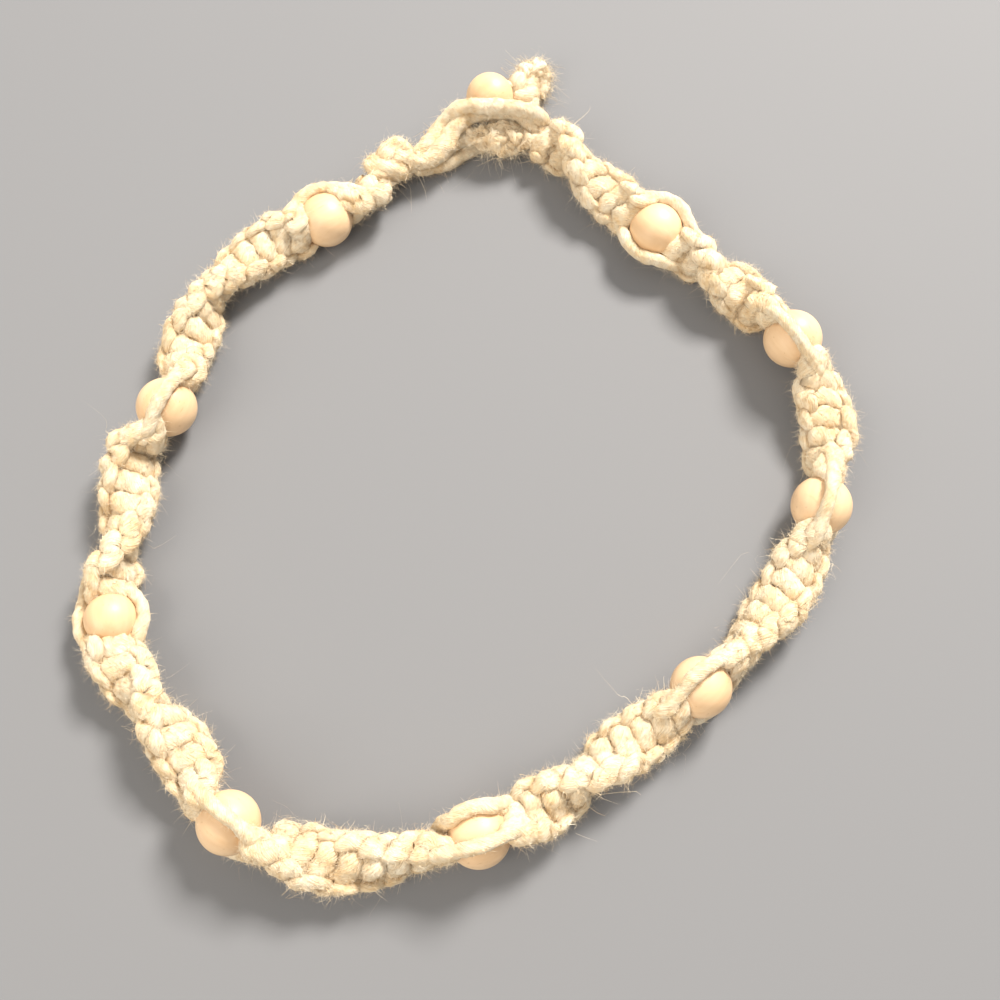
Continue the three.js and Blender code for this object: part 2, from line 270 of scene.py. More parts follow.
def away_from(centre, ahead, line):
    """At each point of a cord, the direction away from the line that it is wound about."""
    nearest = line[np.argmin(np.linalg.norm(centre[:, None] - line[None], axis=2), axis=1)]
    away = centre - nearest
    away -= ahead * (away * ahead).sum(axis=1)[:, None]
    return away / np.maximum(np.linalg.norm(away, axis=1), TINY)[:, None]


def pressed_flat(outward, away):
    """A section's directions outwards, made shorter towards the line and longer across it."""
    part_away = (outward * away[:, None]).sum(axis=2, keepdims=True) * away[:, None]
    return SPREAD * (outward - part_away) + PRESSED * part_away


print("a pressed cord is", round(SPREAD / PRESSED, 2), "times as wide as thick")

# %% [markdown]
# ## Winding the surface
#
# A cord's surface is a net of four-cornered faces, from ring to ring, with a cap at each cut end. A curve's
# bevel would make the same net by itself, but then its vertices couldn't be moved one by one.

# %% Faces round a tube
def tube_faces(rings, sides):
    """Four-cornered faces from ring to ring of a tube, and a cap at each end."""
    ring_start = np.arange(rings - 1)[:, None] * sides
    first = ring_start + np.arange(sides)[None]
    second = ring_start + (np.arange(sides)[None] + 1) % sides
    faces = np.stack([first, second, second + sides, first + sides], axis=-1).reshape(-1, 4)
    caps = [list(range(sides))[::-1], list(range((rings - 1) * sides, rings * sides))]
    return faces.tolist() + caps


print("a tube of 3 rings with 4 sides has", len(tube_faces(3, 4)), "faces")

# %% [markdown]
# ## One cord
#
# Now the parts of a cord come together. Each vertex also keeps two values for the material. The first is
# strand, which turns with the plies, so that the grain can follow them. The second holds painted shade
# between cords, which is found in the next step. They could be image maps, but a cord this long and knotted
# has no sensible unwrapping.

# %% Making a cord
CORD_PLIES = 3
CORD_LAY = 7.5
CORD_STEP = 0.37
FLOOR_CLEARANCE = 0.03
STRAND_SHIFT = 100


def cord(
    points, radius, sides=16, plies=CORD_PLIES, lay=CORD_LAY, ply_depth=0.035, lump=0.12,
    step=CORD_STEP, narrow_ends=0.0, wound_about=None, swell=None,
):
    """One cord along a smooth curve: its vertices, faces, normals and the values that go with them."""
    centre = smooth_curve(points, step)
    ahead = headings(centre)
    normal = carried_normals(ahead)
    binormal = np.cross(ahead, normal)
    rings = len(centre)
    along = np.arange(rings) * np.linalg.norm(centre[1] - centre[0])
    angle = np.arange(sides) * 2 * np.pi / sides
    turned = angle[None, :] - (2 * np.pi * along / lay)[:, None]
    lumps = FINE_LUMPS * random_lumps(rings, sides, reach=1)
    lumps = lumps + BROAD_LUMPS * random_lumps(rings, sides, reach=3)
    size = radius * (1 + ply_depth * np.cos(plies * turned) + thick_and_thin(along)[:, None]) + lump * lumps
    girth = girth_along(along, radius, narrow_ends)
    size = size * girth[:, None]
    if swell is not None:
        place, reach, amount = swell
        size *= 1 + amount * np.exp(-(((along - place) / reach) ** 2))[:, None]
    outward = np.cos(angle)[None, :, None] * normal[:, None]
    outward = outward + np.sin(angle)[None, :, None] * binormal[:, None]
    if wound_about is not None:
        outward = pressed_flat(outward, away_from(centre, ahead, wound_about))
    vertices = centre[:, None] + size[..., None] * outward
    vertices[..., 2] = np.maximum(vertices[..., 2], FLOOR_CLEARANCE)
    strand_along = along[:, None] + random.uniform(0, STRAND_SHIFT)
    strand = [np.cos(turned) * radius, np.sin(turned) * radius, np.broadcast_to(strand_along, turned.shape)]
    return dict(
        vertices=vertices.reshape(-1, 3),
        faces=tube_faces(rings, sides),
        strand=np.stack(strand, axis=-1).reshape(-1, 3),
        seam=np.zeros(rings * sides),
        normals=outward.reshape(-1, 3),
        ahead=np.repeat(ahead, sides, axis=0),
        centre=centre,
        radius=radius,
        along=np.repeat(along, sides),
        girth=np.repeat(girth, sides),
    )


print("a ply goes once round its cord in", CORD_LAY, "mm")

# %% [markdown]
# ## Painted shade in the seams between cords
#
# Where two cords press together the gap between them is narrow and holds shadow, which looks brown.
# That shade is painted into the colour here: an ambient-occlusion node could darken it, but only in one
# render engine and not in an export. So each point of a cord is measured instead: how near does the
# surface of another cord come to it, or that of the same cord some way further on? Points in or near a
# contact get painted shade towards 1.

# %% Painting shade into the seams
# A point gets full painted shade when it lies this deep in another cord, and none this much further out.
PAINTED_SHADE_DEPTH = 0.1
PAINTED_SHADE_REACH = 0.6
FAR_APART = 9.0
OWN_REACH = 4.0
POINTS_AT_ONCE = 2000


def paint_contact_shade(cords, own_reach=OWN_REACH):
    """Give each point of the cords its painted shade. A cord's own next own_reach millimetres don't count.
    """
    centres = np.vstack([c["centre"] for c in cords])
    owner = np.concatenate([np.full(len(c["centre"]), i) for i, c in enumerate(cords)])
    reach = np.concatenate([np.full(len(c["centre"]), c["radius"]) for c in cords])
    placed = np.concatenate([np.linspace(0, c["along"][-1], len(c["centre"])) for c in cords])
    for index, c in enumerate(cords):
        gap = np.full(len(c["vertices"]), FAR_APART)
        for start in range(0, len(gap), POINTS_AT_ONCE):
            part = slice(start, start + POINTS_AT_ONCE)
            apart = np.linalg.norm(c["vertices"][part, None] - centres[None], axis=2) - reach
            same = (owner == index)[None] & (abs(c["along"][part, None] - placed[None]) < own_reach)
            gap[part] = np.where(same, FAR_APART, apart).min(axis=1)
        c["seam"] = np.clip(1 - (gap + PAINTED_SHADE_DEPTH) / PAINTED_SHADE_REACH, 0, 1)


print("a seam is seen up to", round(PAINTED_SHADE_REACH - PAINTED_SHADE_DEPTH, 2), "mm from the next cord")

# %% [markdown]
# ## Kinds of loose fibre
#
# Fibre ends are what makes hemp look like hemp. Most lie along the cord as a short nap, some stand off it
# as a pale halo, a few stray or curl, and dark ones are scribbled over it. A hair system would grow
# them, but its settings don't go into an export. So each fibre is a thin strip of real faces that
# narrows to its tip, and a kind of fibre is a few numbers: how many grow on a millimetre of cord, how
# long and thick they are, how they bend, how far they lift, and what share of them is dark.

# %% Five kinds of fibre
NAP = dict(
    per_mm=14, shortest=0.3, spread=0.18, longest=1.0, thickness=0.065,
    curl=0.3, wave=0.1, lift=0.45, steps=2, dark=0.1,
)
HALO = dict(
    per_mm=16, shortest=0.4, spread=0.25, longest=1.2, thickness=0.045,
    curl=0.6, wave=0.12, lift=1.0, steps=2, dark=0.1,
)
STRAY = dict(
    per_mm=0.2, shortest=1.0, spread=0.6, longest=4.0, thickness=0.04,
    curl=0.9, wave=0.4, lift=0.7, steps=8, dark=0.1,
)
SCRIBBLE = dict(
    per_mm=3, shortest=0.8, spread=0.4, longest=2.0, thickness=0.08,
    curl=0.5, wave=0.2, lift=0.12, steps=4, dark=0.6,
)
CURLS = dict(
    per_mm=20, shortest=0.6, spread=0.45, longest=2.5, thickness=0.075,
    curl=0.9, wave=0.35, lift=0.4, steps=6, dark=0.1,
)
longest = max(kind["longest"] for kind in (NAP, HALO, STRAY, SCRIBBLE, CURLS))
print("the longest fibres reach", longest, "mm")

# %% [markdown]
# ## One fibre's way
#
# A loose fibre leaves its root along the cord or away from it, sags to one side and waves a little. It
# could be simulated as a fine rope, thousands of times over. Three random directions a fibre, one for
# its start, one for its bend and one for its wave, give the same look at once.

# %% The curves of the fibres
# How far a fibre's start strays from its heading, how fast it waves and how its strip is turned by chance.
SCATTER = 0.45
WAVES = 7
STRIP_TURN = 0.7
ROOT_DEPTH = 0.04
# Fibres of a kind that lifts less than this lie on the cord, at this height.
LYING = 0.2
LYING_HEIGHT = 0.05


def along_surface(vectors, normals):
    """The vectors without what points out of the surface."""
    return vectors - normals * (vectors * normals).sum(axis=1)[:, None]


def fibre_curves(roots, normals, ahead, lengths, kind, t):
    """The middle line of each fibre at the places t, and the direction across its strip."""
    count = len(roots)
    way = random.choice([-1.0, 1.0], (count, 1))
    heading = kind["lift"] * normals + way * ahead + random.normal(0, SCATTER, (count, 3))
    heading /= np.linalg.norm(heading, axis=1)[:, None]
    bend = random.normal(0, kind["curl"], (count, 3))
    bend[:, 2] = -abs(bend[:, 2])
    wave = random.normal(0, kind["wave"], (count, 3))
    strip_normals = normals + random.normal(0, STRIP_TURN, (count, 3))
    height = -ROOT_DEPTH * (1 - t)
    if kind["lift"] < LYING:
        bend = along_surface(bend, normals)
        wave = along_surface(wave, normals)
        strip_normals = normals
        height = height + LYING_HEIGHT
    curve = heading[:, None] * t + bend[:, None] * t**2 + wave[:, None] * np.sin(WAVES * t)
    line = roots[:, None] + lengths[:, None, None] * curve + height * normals[:, None]
    across = np.cross(heading, strip_normals)
    across /= np.maximum(np.linalg.norm(across, axis=1), TINY)[:, None]
    return line, across


print("a fibre's root lies", ROOT_DEPTH, "mm under the cord's surface")

# %% [markdown]
# ## Strips for fibres
#
# On the real cord most loose fibres are paler than the cord, because light shines through them, and a few
# are bits of brown bark. That paleness is painted light here. A second material could tell them apart.
# The value that holds the painted shade does it here without one: above 0 it means brown, and below 0 it
# means painted light, paler than the cord.

# %% Meshes of fibres
# A strip starts a little wider than its kind's thickness and loses just that thickness on its way.
TAPER = 1.15
FIBRE_CLEARANCE = 0.05
# How brown the brown fibres are, and how much painted light makes the others pale, as values above and
# below 0.
BROWN_SHADES = (0.3, 0.75)
PAINTED_LIGHT_SHADES = (0.0, 1.2)
FIBRE_GRAIN = 0.4


def fibres(roots, normals, ahead, lengths, kind):
    """One mesh of curled fibres, one for each root."""
    count, steps = len(roots), kind["steps"]
    t = np.linspace(0, 1, steps + 1)[None, :, None]
    line, across = fibre_curves(roots, normals, ahead, lengths, kind, t)
    half = 0.5 * kind["thickness"] * (TAPER - t) * across[:, None]
    vertices = np.stack([line - half, line + half], axis=2).reshape(-1, 3)
    vertices[:, 2] = np.maximum(vertices[:, 2], FIBRE_CLEARANCE)
    base = (np.arange(count) * (steps + 1) * 2)[:, None] + (np.arange(steps) * 2)[None]
    faces = np.stack([base, base + 1, base + 3, base + 2], axis=-1).reshape(-1, 4)
    is_brown = random.uniform(0, 1, count) < kind["dark"]
    brown = random.uniform(*BROWN_SHADES, count)
    painted_light = random.uniform(*PAINTED_LIGHT_SHADES, count)
    shade = np.repeat(np.where(is_brown, brown, -painted_light), 2 * (steps + 1))
    return dict(vertices=vertices, faces=faces.tolist(), strand=vertices * FIBRE_GRAIN, seam=shade)


print("a strip narrows to", round((TAPER - 1) / TAPER, 2), "of its width")

# %% [markdown]
# ## A coat of fibres
#
# Handling rubs fibres loose on the outside of the hemp, and hardly any between cords that are pressed
# together. Spreading them evenly would fill the seams with hair and hide the knots. So each root falls on
# a vertex by chance, and the chance goes down with the vertex's painted shade and at cut ends.

# %% Growing a coat
# No fibre grows where the cord is this near to the floor, because it wouldn't be seen.
HIDDEN_BELOW = 0.2
LENGTH_SHAPE = 1.5


def fuzz(cords, *kinds, more=1.0):
    """Fibres of the given kinds on the open parts of some cords, away from seams and cut ends."""
    vertices = np.vstack([c["vertices"] for c in cords])
    open_parts = np.concatenate([((1 - c["seam"]) * c["girth"]) ** 2 for c in cords])
    open_parts = open_parts * (vertices[:, 2] > HIDDEN_BELOW)
    open_parts /= open_parts.sum()
    normals = np.vstack([c["normals"] for c in cords])
    ahead = np.vstack([c["ahead"] for c in cords])
    length = sum(c["along"][-1] for c in cords)
    made = []
    for kind in kinds:
        count = int(more * kind["per_mm"] * length)
        chosen = random.choice(len(vertices), count, p=open_parts)
        lengths = kind["shortest"] + random.gamma(LENGTH_SHAPE, kind["spread"], count)
        lengths = np.minimum(lengths, kind["longest"])
        made.append(fibres(vertices[chosen], normals[chosen], ahead[chosen], lengths, kind))
    return made


def shaggy(cords, more, curls):
    """The whole coat of a knot: the four finer kinds of fibre, and a share of curls."""
    return fuzz(cords, NAP, HALO, STRAY, SCRIBBLE, more=more) + fuzz(cords, CURLS, more=curls)


print("nap and halo grow", NAP["per_mm"] + HALO["per_mm"], "fibres on a millimetre of cord")

# %% [markdown]
# ## From arrays to pieces
#
# Each piece of the necklace becomes one mesh, its cords and its fibres together. A hundred small meshes
# would be as true, but slower to move and to repaint. A piece rides on the necklace's one body and stands
# for the CAD nodes that it was drawn over, which are hidden.

# %% Adding a piece
def placed_piece(name, mesh, nodes, place=Matrix()):
    """A mesh as a piece of the scene, which rides on the necklace and replaces its CAD nodes."""
    piece = bpy.data.objects.new(name, mesh)
    bpy.context.scene.collection.objects.link(piece)
    piece.matrix_world = place
    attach(piece, "root")
    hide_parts(*nodes)
    return piece


def add_hemp(name, parts, nodes):
    """One piece of hemp from all its cords and fibres, with the two values kept at each vertex."""
    offsets = np.cumsum([0] + [len(part["vertices"]) for part in parts])
    faces = []
    for part, offset in zip(parts, offsets):
        faces += [[int(i) + int(offset) for i in face] for face in part["faces"]]
    mesh = bpy.data.meshes.new(name)
    mesh.from_pydata((np.vstack([part["vertices"] for part in parts]) * MM).tolist(), [], faces)
    strand = mesh.attributes.new("strand", "FLOAT_VECTOR", "POINT")
    strand.data.foreach_set("vector", np.vstack([part["strand"] for part in parts]).ravel())
    seam = mesh.attributes.new("seam", "FLOAT", "POINT")
    seam.data.foreach_set("value", np.concatenate([part["seam"] for part in parts]))
    mesh.polygons.foreach_set("use_smooth", [True] * len(mesh.polygons))
    mesh.materials.append(hemp)
    mesh.update()
    return placed_piece(name, mesh, nodes)


print("each piece of hemp keeps strand and seam at its vertices")

# %% [markdown]
# ## Materials from nodes
#
# The colours of hemp and wood aren't painted on: they come from noise that is stretched along the grain.
# Wiring nodes by hand in the editor gives the same result. A few helpers that each add one node keep the
# wiring short to read.

# %% One helper for each kind of node
def new_material(name, roughness):
    """A material with the given roughness, its node tree and its surface shader."""
    material = bpy.data.materials.new(name)
    material.use_nodes = True
    surface = material.node_tree.nodes["Principled BSDF"]
    surface.inputs["Roughness"].default_value = roughness
    return material, material.node_tree, surface


def kept_value(tree, name):
    """A value that the mesh keeps at its vertices."""
    node = tree.nodes.new("ShaderNodeAttribute")
    node.attribute_name = name
    return node


def noise(tree, place, scale, detail):
    """Cloudy noise from 0 to 1."""
    node = tree.nodes.new("ShaderNodeTexNoise")
    node.inputs["Scale"].default_value = scale
    node.inputs["Detail"].default_value = detail
    tree.links.new(place, node.inputs["Vector"])
    return node.outputs["Fac"]


def stretched(tree, place, scale):
    """Places scaled by axis, so that noise on them is drawn out along the smallest scale."""
    node = tree.nodes.new("ShaderNodeMapping")
    node.inputs["Scale"].default_value = scale
    tree.links.new(place, node.inputs["Vector"])
    return node.outputs["Vector"]


def coloured(tree, value, stops):
    """A value turned into colour by a ramp with the given (place, colour) stops."""
    node = tree.nodes.new("ShaderNodeValToRGB")
    elements = node.color_ramp.elements
    while len(elements) < len(stops):
        elements.new(0.5)
    for element, (place, colour) in zip(elements, stops):
        element.position = place
        element.color = (*colour, 1)
    tree.links.new(value, node.inputs["Fac"])
    return node.outputs["Color"]


def mixed(tree, share, first, second):
    """Two colours mixed. The share of the second, and each colour, is a value or another node's output."""
    node = tree.nodes.new("ShaderNodeMix")
    node.data_type = "RGBA"
    share_in, first_in, second_in = (node.inputs[i] for i in (0, 6, 7))
    for socket, value in ((share_in, share), (first_in, first), (second_in, second)):
        if isinstance(value, float):
            socket.default_value = value
        elif isinstance(value, tuple):
            socket.default_value = (*value, 1)
        else:
            tree.links.new(value, socket)
    return node.outputs[2]


def relief(tree, surface, height, distance, strength):
    """Let the light fall as if a value stood out of the surface, by up to distance in metres."""
    node = tree.nodes.new("ShaderNodeBump")
    node.inputs["Strength"].default_value = strength
    node.inputs["Distance"].default_value = distance
    tree.links.new(height, node.inputs["Height"])
    tree.links.new(node.outputs["Normal"], surface.inputs["Normal"])


helpers = (kept_value, noise, stretched, coloured, mixed, relief)
print("node helpers:", ", ".join(helper.__name__ for helper in helpers))

# %% [markdown]
# ## Hemp
#
# Natural hemp runs from nearly white straw to pale tan. It could be one flat colour, and it would look
# like plastic. Three noises are laid over each other instead: fibres stretched along the plies, broad
# patches, and a fine mottling. Darker flecks are bits of bark, seams get brown painted shade, and loose
# fibres get painted light that makes them pale. A little sheen stands for the light that the nap catches
# at a low angle.

# %% The hemp's colours and its material
FIBRE_COLOURS = [(0.36, (0.60, 0.38, 0.18)), (0.45, (0.81, 0.62, 0.38)), (0.57, (0.88, 0.75, 0.53))]
PATCH_COLOURS = [(0.36, (0.78, 0.56, 0.30)), (0.50, (0.86, 0.70, 0.47)), (0.64, (0.93, 0.84, 0.67))]
MOTTLE_COLOURS = [(0.38, (0.76, 0.53, 0.28)), (0.62, (0.93, 0.85, 0.69))]
PATCH_SHARE = 0.6
MOTTLE_SHARE = 0.35
BARK_SHARE = [(0.62, (0, 0, 0)), (0.70, (0.75, 0.75, 0.75))]
BARK_BROWN = (0.36, 0.21, 0.09)
# Painted shade: seams are mixed towards this brown, and so are the brown bark fibres.
SHADE_AND_BARK_SHARE = [(0.20, (0, 0, 0)), (1.00, (0.7, 0.7, 0.7))]
SHADE_AND_BARK_BROWN = (0.40, 0.24, 0.11)
# Painted light: loose fibres and frayed ends are mixed towards this pale colour.
PAINTED_LIGHT_SHARE = -0.55
PAINTED_LIGHT_PALE = (0.95, 0.88, 0.72)
SHEEN_COLOUR = (1.0, 0.92, 0.75, 1)


def painted_light_amount(tree, seam):
    """How much painted light a loose fibre gets: its value below 0, turned round."""
    node = tree.nodes.new("ShaderNodeMath")
    node.operation = "MULTIPLY"
    node.use_clamp = True
    node.inputs[1].default_value = PAINTED_LIGHT_SHARE
    tree.links.new(seam, node.inputs[0])
    return node.outputs["Value"]


def hemp_material():
    """Undyed hemp: dull, a little downy, straw-coloured with darker flecks, painted shade in seams and
    painted light on loose fibres.
    """
    material, tree, surface = new_material("natural_hemp", roughness=0.9)
    strand = kept_value(tree, "strand").outputs["Vector"]
    seam = kept_value(tree, "seam").outputs["Fac"]
    place = tree.nodes.new("ShaderNodeTexCoord").outputs["Object"]

    grain = noise(tree, stretched(tree, strand, (3.0, 3.0, 0.55)), scale=1.7, detail=5)
    straw = coloured(tree, grain, FIBRE_COLOURS)
    patches = coloured(tree, noise(tree, place, scale=210, detail=3), PATCH_COLOURS)
    mottling = coloured(tree, noise(tree, place, scale=800, detail=4), MOTTLE_COLOURS)
    flecks = noise(tree, stretched(tree, strand, (4.5, 4.5, 0.9)), scale=2.3, detail=2)

    colour = mixed(tree, PATCH_SHARE, straw, patches)
    colour = mixed(tree, MOTTLE_SHARE, colour, mottling)
    colour = mixed(tree, coloured(tree, flecks, BARK_SHARE), colour, BARK_BROWN)
    # Painted shade in the seams, then painted light on loose fibres, are mixed into the colour.
    colour = mixed(tree, coloured(tree, seam, SHADE_AND_BARK_SHARE), colour, SHADE_AND_BARK_BROWN)
    colour = mixed(tree, painted_light_amount(tree, seam), colour, PAINTED_LIGHT_PALE)
    tree.links.new(colour, surface.inputs["Base Color"])

    surface.inputs["Specular IOR Level"].default_value = 0.12
    surface.inputs["Sheen Weight"].default_value = 0.25
    surface.inputs["Sheen Roughness"].default_value = 0.5
    surface.inputs["Sheen Tint"].default_value = SHEEN_COLOUR
    relief(tree, surface, grain, distance=0.0004, strength=1.0)
    return material


hemp = hemp_material()
print("made", hemp.name)

# %% [markdown]
# ## One half knot
#
# In a half knot one working cord crosses in front of the core and the other behind it, and each passes
# through the loop that the other leaves at the ribbon's edge. A knot this tight could come out of a
# simulation only after long pulling. It is given instead as a table that follows one
# cord through one knot: how far along the knot it is, and how far across and through the ribbon's
# section, in millimetres. In the next knot the same cord crosses on the other face, so the table
# repeats turned half round. The second cord is the first turned half round.

# %% The way of one working cord
HALF_KNOT = [
    # knot, across, through
    (0.00, 3.75, -0.60),  # in at the near edge, and down
    (0.26, 3.55, -1.35),
    (0.48, 3.20, -1.50),
    (0.66, 3.10, -0.45),  # up round the other cord
    (0.74, 2.65, 0.75),
    (0.69, 1.60, 1.60),
    (0.58, 0.00, 1.75),  # across the face, over the core
    (0.47, -1.60, 1.45),
    (0.43, -2.80, 0.45),
    (0.50, -3.75, -0.25),  # out at the far edge
    (0.72, -4.05, 0.05),
]
WORKING_RADIUS = 1.36
CORE_RADIUS = 1.75
CORE_PLACES = (-1.1, 1.1)
KNOT_SPACING = 3.6
crossing = HALF_KNOT[0][1] - HALF_KNOT[-1][1]
print("a half knot crosses", round(crossing, 2), "mm of ribbon in", len(HALF_KNOT), "places")

# %% [markdown]
# ## The route of each stretch
#
# On the real necklace the last knot sits tight against the bead. A route that stopped at the bead's
# surface would leave a gap there as soon as it bends. So the shoulder, where ribbon and bead meet, has a
# place of the route just before it and another a little inside the bead, and the route arrives straight.

# %% Ten routes
# From a bead's surface out to its shoulder, from there to the place before it, and to the end inside.
GAP = 0.3
LEAD = 0.8
INSET = 1.8


def bead_point(bead, distance):
    """A place on a bead's own axis."""
    return bead["middle"] + bead["axis"] * distance


def stretch_route(index):
    """A stretch's route, which starts and ends some way inside the beads beside it."""
    points = [drawn(bend) for bend in STRETCHES[index]["bends"]]
    if index > 0:
        bead = beads[index - 1]
        shoulder = bead["radius"] + GAP
        points = [bead_point(bead, shoulder + d) for d in (-INSET, 0, LEAD)] + points
    if index < len(beads):
        bead = beads[index]
        shoulder = bead["radius"] + GAP
        points = points + [bead_point(bead, -shoulder - d) for d in (LEAD, 0, -INSET)]
    return smooth_curve(points, ROUTE_STEP)


routes = [stretch_route(index) for index in range(len(STRETCHES))]
route_headings = [headings(route) for route in routes]
print("routes of", [round(ROUTE_STEP * (len(route) - 1)) for route in routes], "mm")

# %% [markdown]
# ## How many knots, and how they turn
#
# Every knot takes up about the same length of ribbon, so their number follows from a stretch's length.
# The first and last are pushed up against the beads. Each knot adds its bit of turn. One steady twist
# would be simplest, but a maker's hand isn't that even. So the turn follows a curve through what it is
# at the start, in the middle and at the end.

# %% Counting and turning
# The first knot starts, and the last one ends, this share of a knot inside the bead beside it.
BEFORE_FIRST = 0.42
AFTER_LAST = 0.30


def insets(index):
    """How far a stretch's route runs into the bead before it and the bead after it."""
    return (INSET if index > 0 else 0), (INSET if index < len(beads) else 0)


def half_knots(index):
    """How many half knots fill the stretch between its beads."""
    shown = ROUTE_STEP * (len(routes[index]) - 1) - sum(insets(index))
    return round(shown / KNOT_SPACING + BEFORE_FIRST + AFTER_LAST)


def ribbon_turn(stretch, fraction):
    """How far the ribbon is turned at a fraction of its stretch, in radians."""
    start, middle, end = stretch["turn"]
    bow = 2 * (start + end - 2 * middle)
    return math.radians(start + (end - start) * fraction - bow * fraction * (1 - fraction))


knot_counts = [half_knots(index) for index in range(len(STRETCHES))]
print("half knots in each stretch:", knot_counts, "and in all:", sum(knot_counts))

# %% [markdown]
# ## From the table to the ribbon
#
# The table knows only one straight, flat ribbon. To lay a knot on the real route, its section is set up
# square to the route, turned as far as the ribbon is turned there, and moved into place. A curve
# modifier bends a finished mesh in the same way, but it would squash the cords. Here only their middle
# lines bend, and the cords stay round.

# %% Places in the ribbon
FAR_FROM_BEAD = 9
# Knots pressed against a bead are smaller: knots from the bead's shoulder, and the share of full size.
END_KNOTS = ([0.3, 0.6, 1.3], [0.95, 0.90, 1])


def in_ribbon(index, knot, across, through):
    """A place in the ribbon's own section as a point of the frame."""
    route, count = routes[index], knot_counts[index]
    before, after = insets(index)
    length = ROUTE_STEP * (len(route) - 1)
    fraction = (knot - BEFORE_FIRST) / (count - BEFORE_FIRST - AFTER_LAST)
    spot = (before + fraction * (length - before - after)) / length * (len(route) - 1)
    centre = np.array([np.interp(spot, range(len(route)), route[:, i]) for i in range(3)])
    ahead = route_headings[index][int(np.clip(round(spot), 0, len(route) - 1))]
    side = unit(np.cross(UP, ahead))
    rise = np.cross(ahead, side)
    turn = ribbon_turn(STRETCHES[index], min(max(fraction, 0), 1))
    near = min(knot if before else FAR_FROM_BEAD, count - knot if after else FAR_FROM_BEAD)
    scale = float(np.interp(near, *END_KNOTS))
    outward = scale * (across * math.cos(turn) - through * math.sin(turn))
    upward = scale * (across * math.sin(turn) + through * math.cos(turn))
    return centre + side * outward + rise * upward


def held_above_floor(points, height):
    """Points of which none lies lower than the given height."""
    points = np.array(points)
    points[:, 2] = np.maximum(points[:, 2], height)
    return points


lift = max(abs(in_ribbon(1, knot, 0, 0)[2] - RIBBON_HEIGHT) for knot in range(knot_counts[1]))
print("the second ribbon's middle strays from its height by", round(float(lift), 2), "mm at most")

# %% [markdown]
# ## Which way round each bead
#
# At a bead the two working cords leave the ribbon's two edges and pass the bead on two sides. Which cord
# goes to which side isn't free: a cord takes the side that lies nearer to the edge it comes from.
# Choosing by hand would be quick, but wrong again as soon as a turn is changed. So both ways of
# pairing are measured, and the one with less turning is taken.

# %% Cords at the beads
# The directions in which the two working cords pass each bead, in degrees about the route from its inner
# side upwards.
WRAPS = [(152, 212), (80, 258), (0, 180), (78, 232), (105, 48), (72, 232), (88, 232), (72, 232), (150, 0)]
PAST_BEAD = 1.0
# A cord ends its last knot at the far edge, and starts its first one a little below the near edge.
EDGE_BEFORE_BEAD = 180
EDGE_AFTER_BEAD = -20


def past_bead(index, direction, latitude):
    """A place on a cord that passes a bead: latitude 0 is beside its middle, and 90 is its far pole."""
    bead = beads[index]
    aside, angle = math.radians(direction), math.radians(latitude)
    outward = unit(np.cross(UP, bead["axis"])) * math.cos(aside) + UP * math.sin(aside)
    reach = bead["radius"] + PAST_BEAD
    return bead_point(bead, reach * math.sin(angle)) + outward * reach * math.cos(angle)


def turn_to(start, end):
    """The shorter way round from one direction to another, in degrees."""
    return (end - start + 180) % 360 - 180


def ways_at_bead(index, stretch_index):
    """For the two cords past a bead, which way each crosses in the knot next to it: 1 or -1."""
    if stretch_index > index:
        edge = STRETCHES[stretch_index]["turn"][0] + EDGE_AFTER_BEAD
    else:
        edge = STRETCHES[stretch_index]["turn"][-1] + EDGE_BEFORE_BEAD
    first, second = WRAPS[index]
    straight = abs(turn_to(edge, first)) + abs(turn_to(edge + 180, second))
    crossed = abs(turn_to(edge, second)) + abs(turn_to(edge + 180, first))
    return (1, -1) if straight <= crossed else (-1, 1)


print("ways of the cords before each bead:", [ways_at_bead(index, index) for index in range(len(beads))])

# %% [markdown]
# ## The working cords through a stretch
#
# A working cord makes one half knot after another and changes face each time. Perfectly even knots would
# be simpler, but they look woven by a machine. So every knot slips a little along the ribbon, and every
# place of the table is a little off. Beside a bead the cord comes in late and leaves early, because it
# is on its way past.

# %% A working cord's line
SLIP = 0.03
UNEVEN = 0.12
LATE_PLACES = 2
EARLY_PLACES = 1
# The latitude on a bead, in degrees, at which the cord is handed over to the piece that passes the bead.
ON_SHOULDER = 31
LOWEST_IN_KNOTS = 1.1
# The last stretch has no bead after it. Its cords run on into the frayed knot, one to each side of a
# place in it.
LAST_KNOT_END = (-0.1, -2.6, 0.4)
FRAYED_KNOT = (7.6, 73.9, 4.4)
HALF_APART = np.array([0.6, 0.8, 0.5])


def one_half_knot(index, knot, way):
    """The places that one cord takes in one knot of a stretch."""
    slip = random.normal(0, SLIP)
    rows = list(zip(HALF_KNOT, random.normal(0, UNEVEN, (len(HALF_KNOT), 2))))
    if knot == 0 and index > 0:
        rows = rows[LATE_PLACES:]
    if knot == knot_counts[index] - 1 and index < len(beads):
        rows = rows[:-EARLY_PLACES]
    return [
        in_ribbon(index, knot + place + slip, way * across + off_across, way * through + off_through)
        for (place, across, through), (off_across, off_through) in rows
    ]


def working_line(index, first_way):
    """One working cord through a stretch, from beside one bead to beside the next."""
    points = []
    if index > 0:
        which = ways_at_bead(index - 1, index).index(first_way)
        points.append(past_bead(index - 1, WRAPS[index - 1][which], ON_SHOULDER))
    for knot in range(knot_counts[index]):
        way = first_way if knot % 2 == 0 else -first_way
        points += one_half_knot(index, knot, way)
    if index < len(beads):
        which = ways_at_bead(index, index).index(way)
        points.append(past_bead(index, WRAPS[index][which], -ON_SHOULDER))
    else:
        back, across, through = LAST_KNOT_END
        points.append(in_ribbon(index, knot_counts[index] + back, across * way, through * way))
        points.append(drawn(FRAYED_KNOT) - HALF_APART * way)
    return held_above_floor(points, LOWEST_IN_KNOTS)


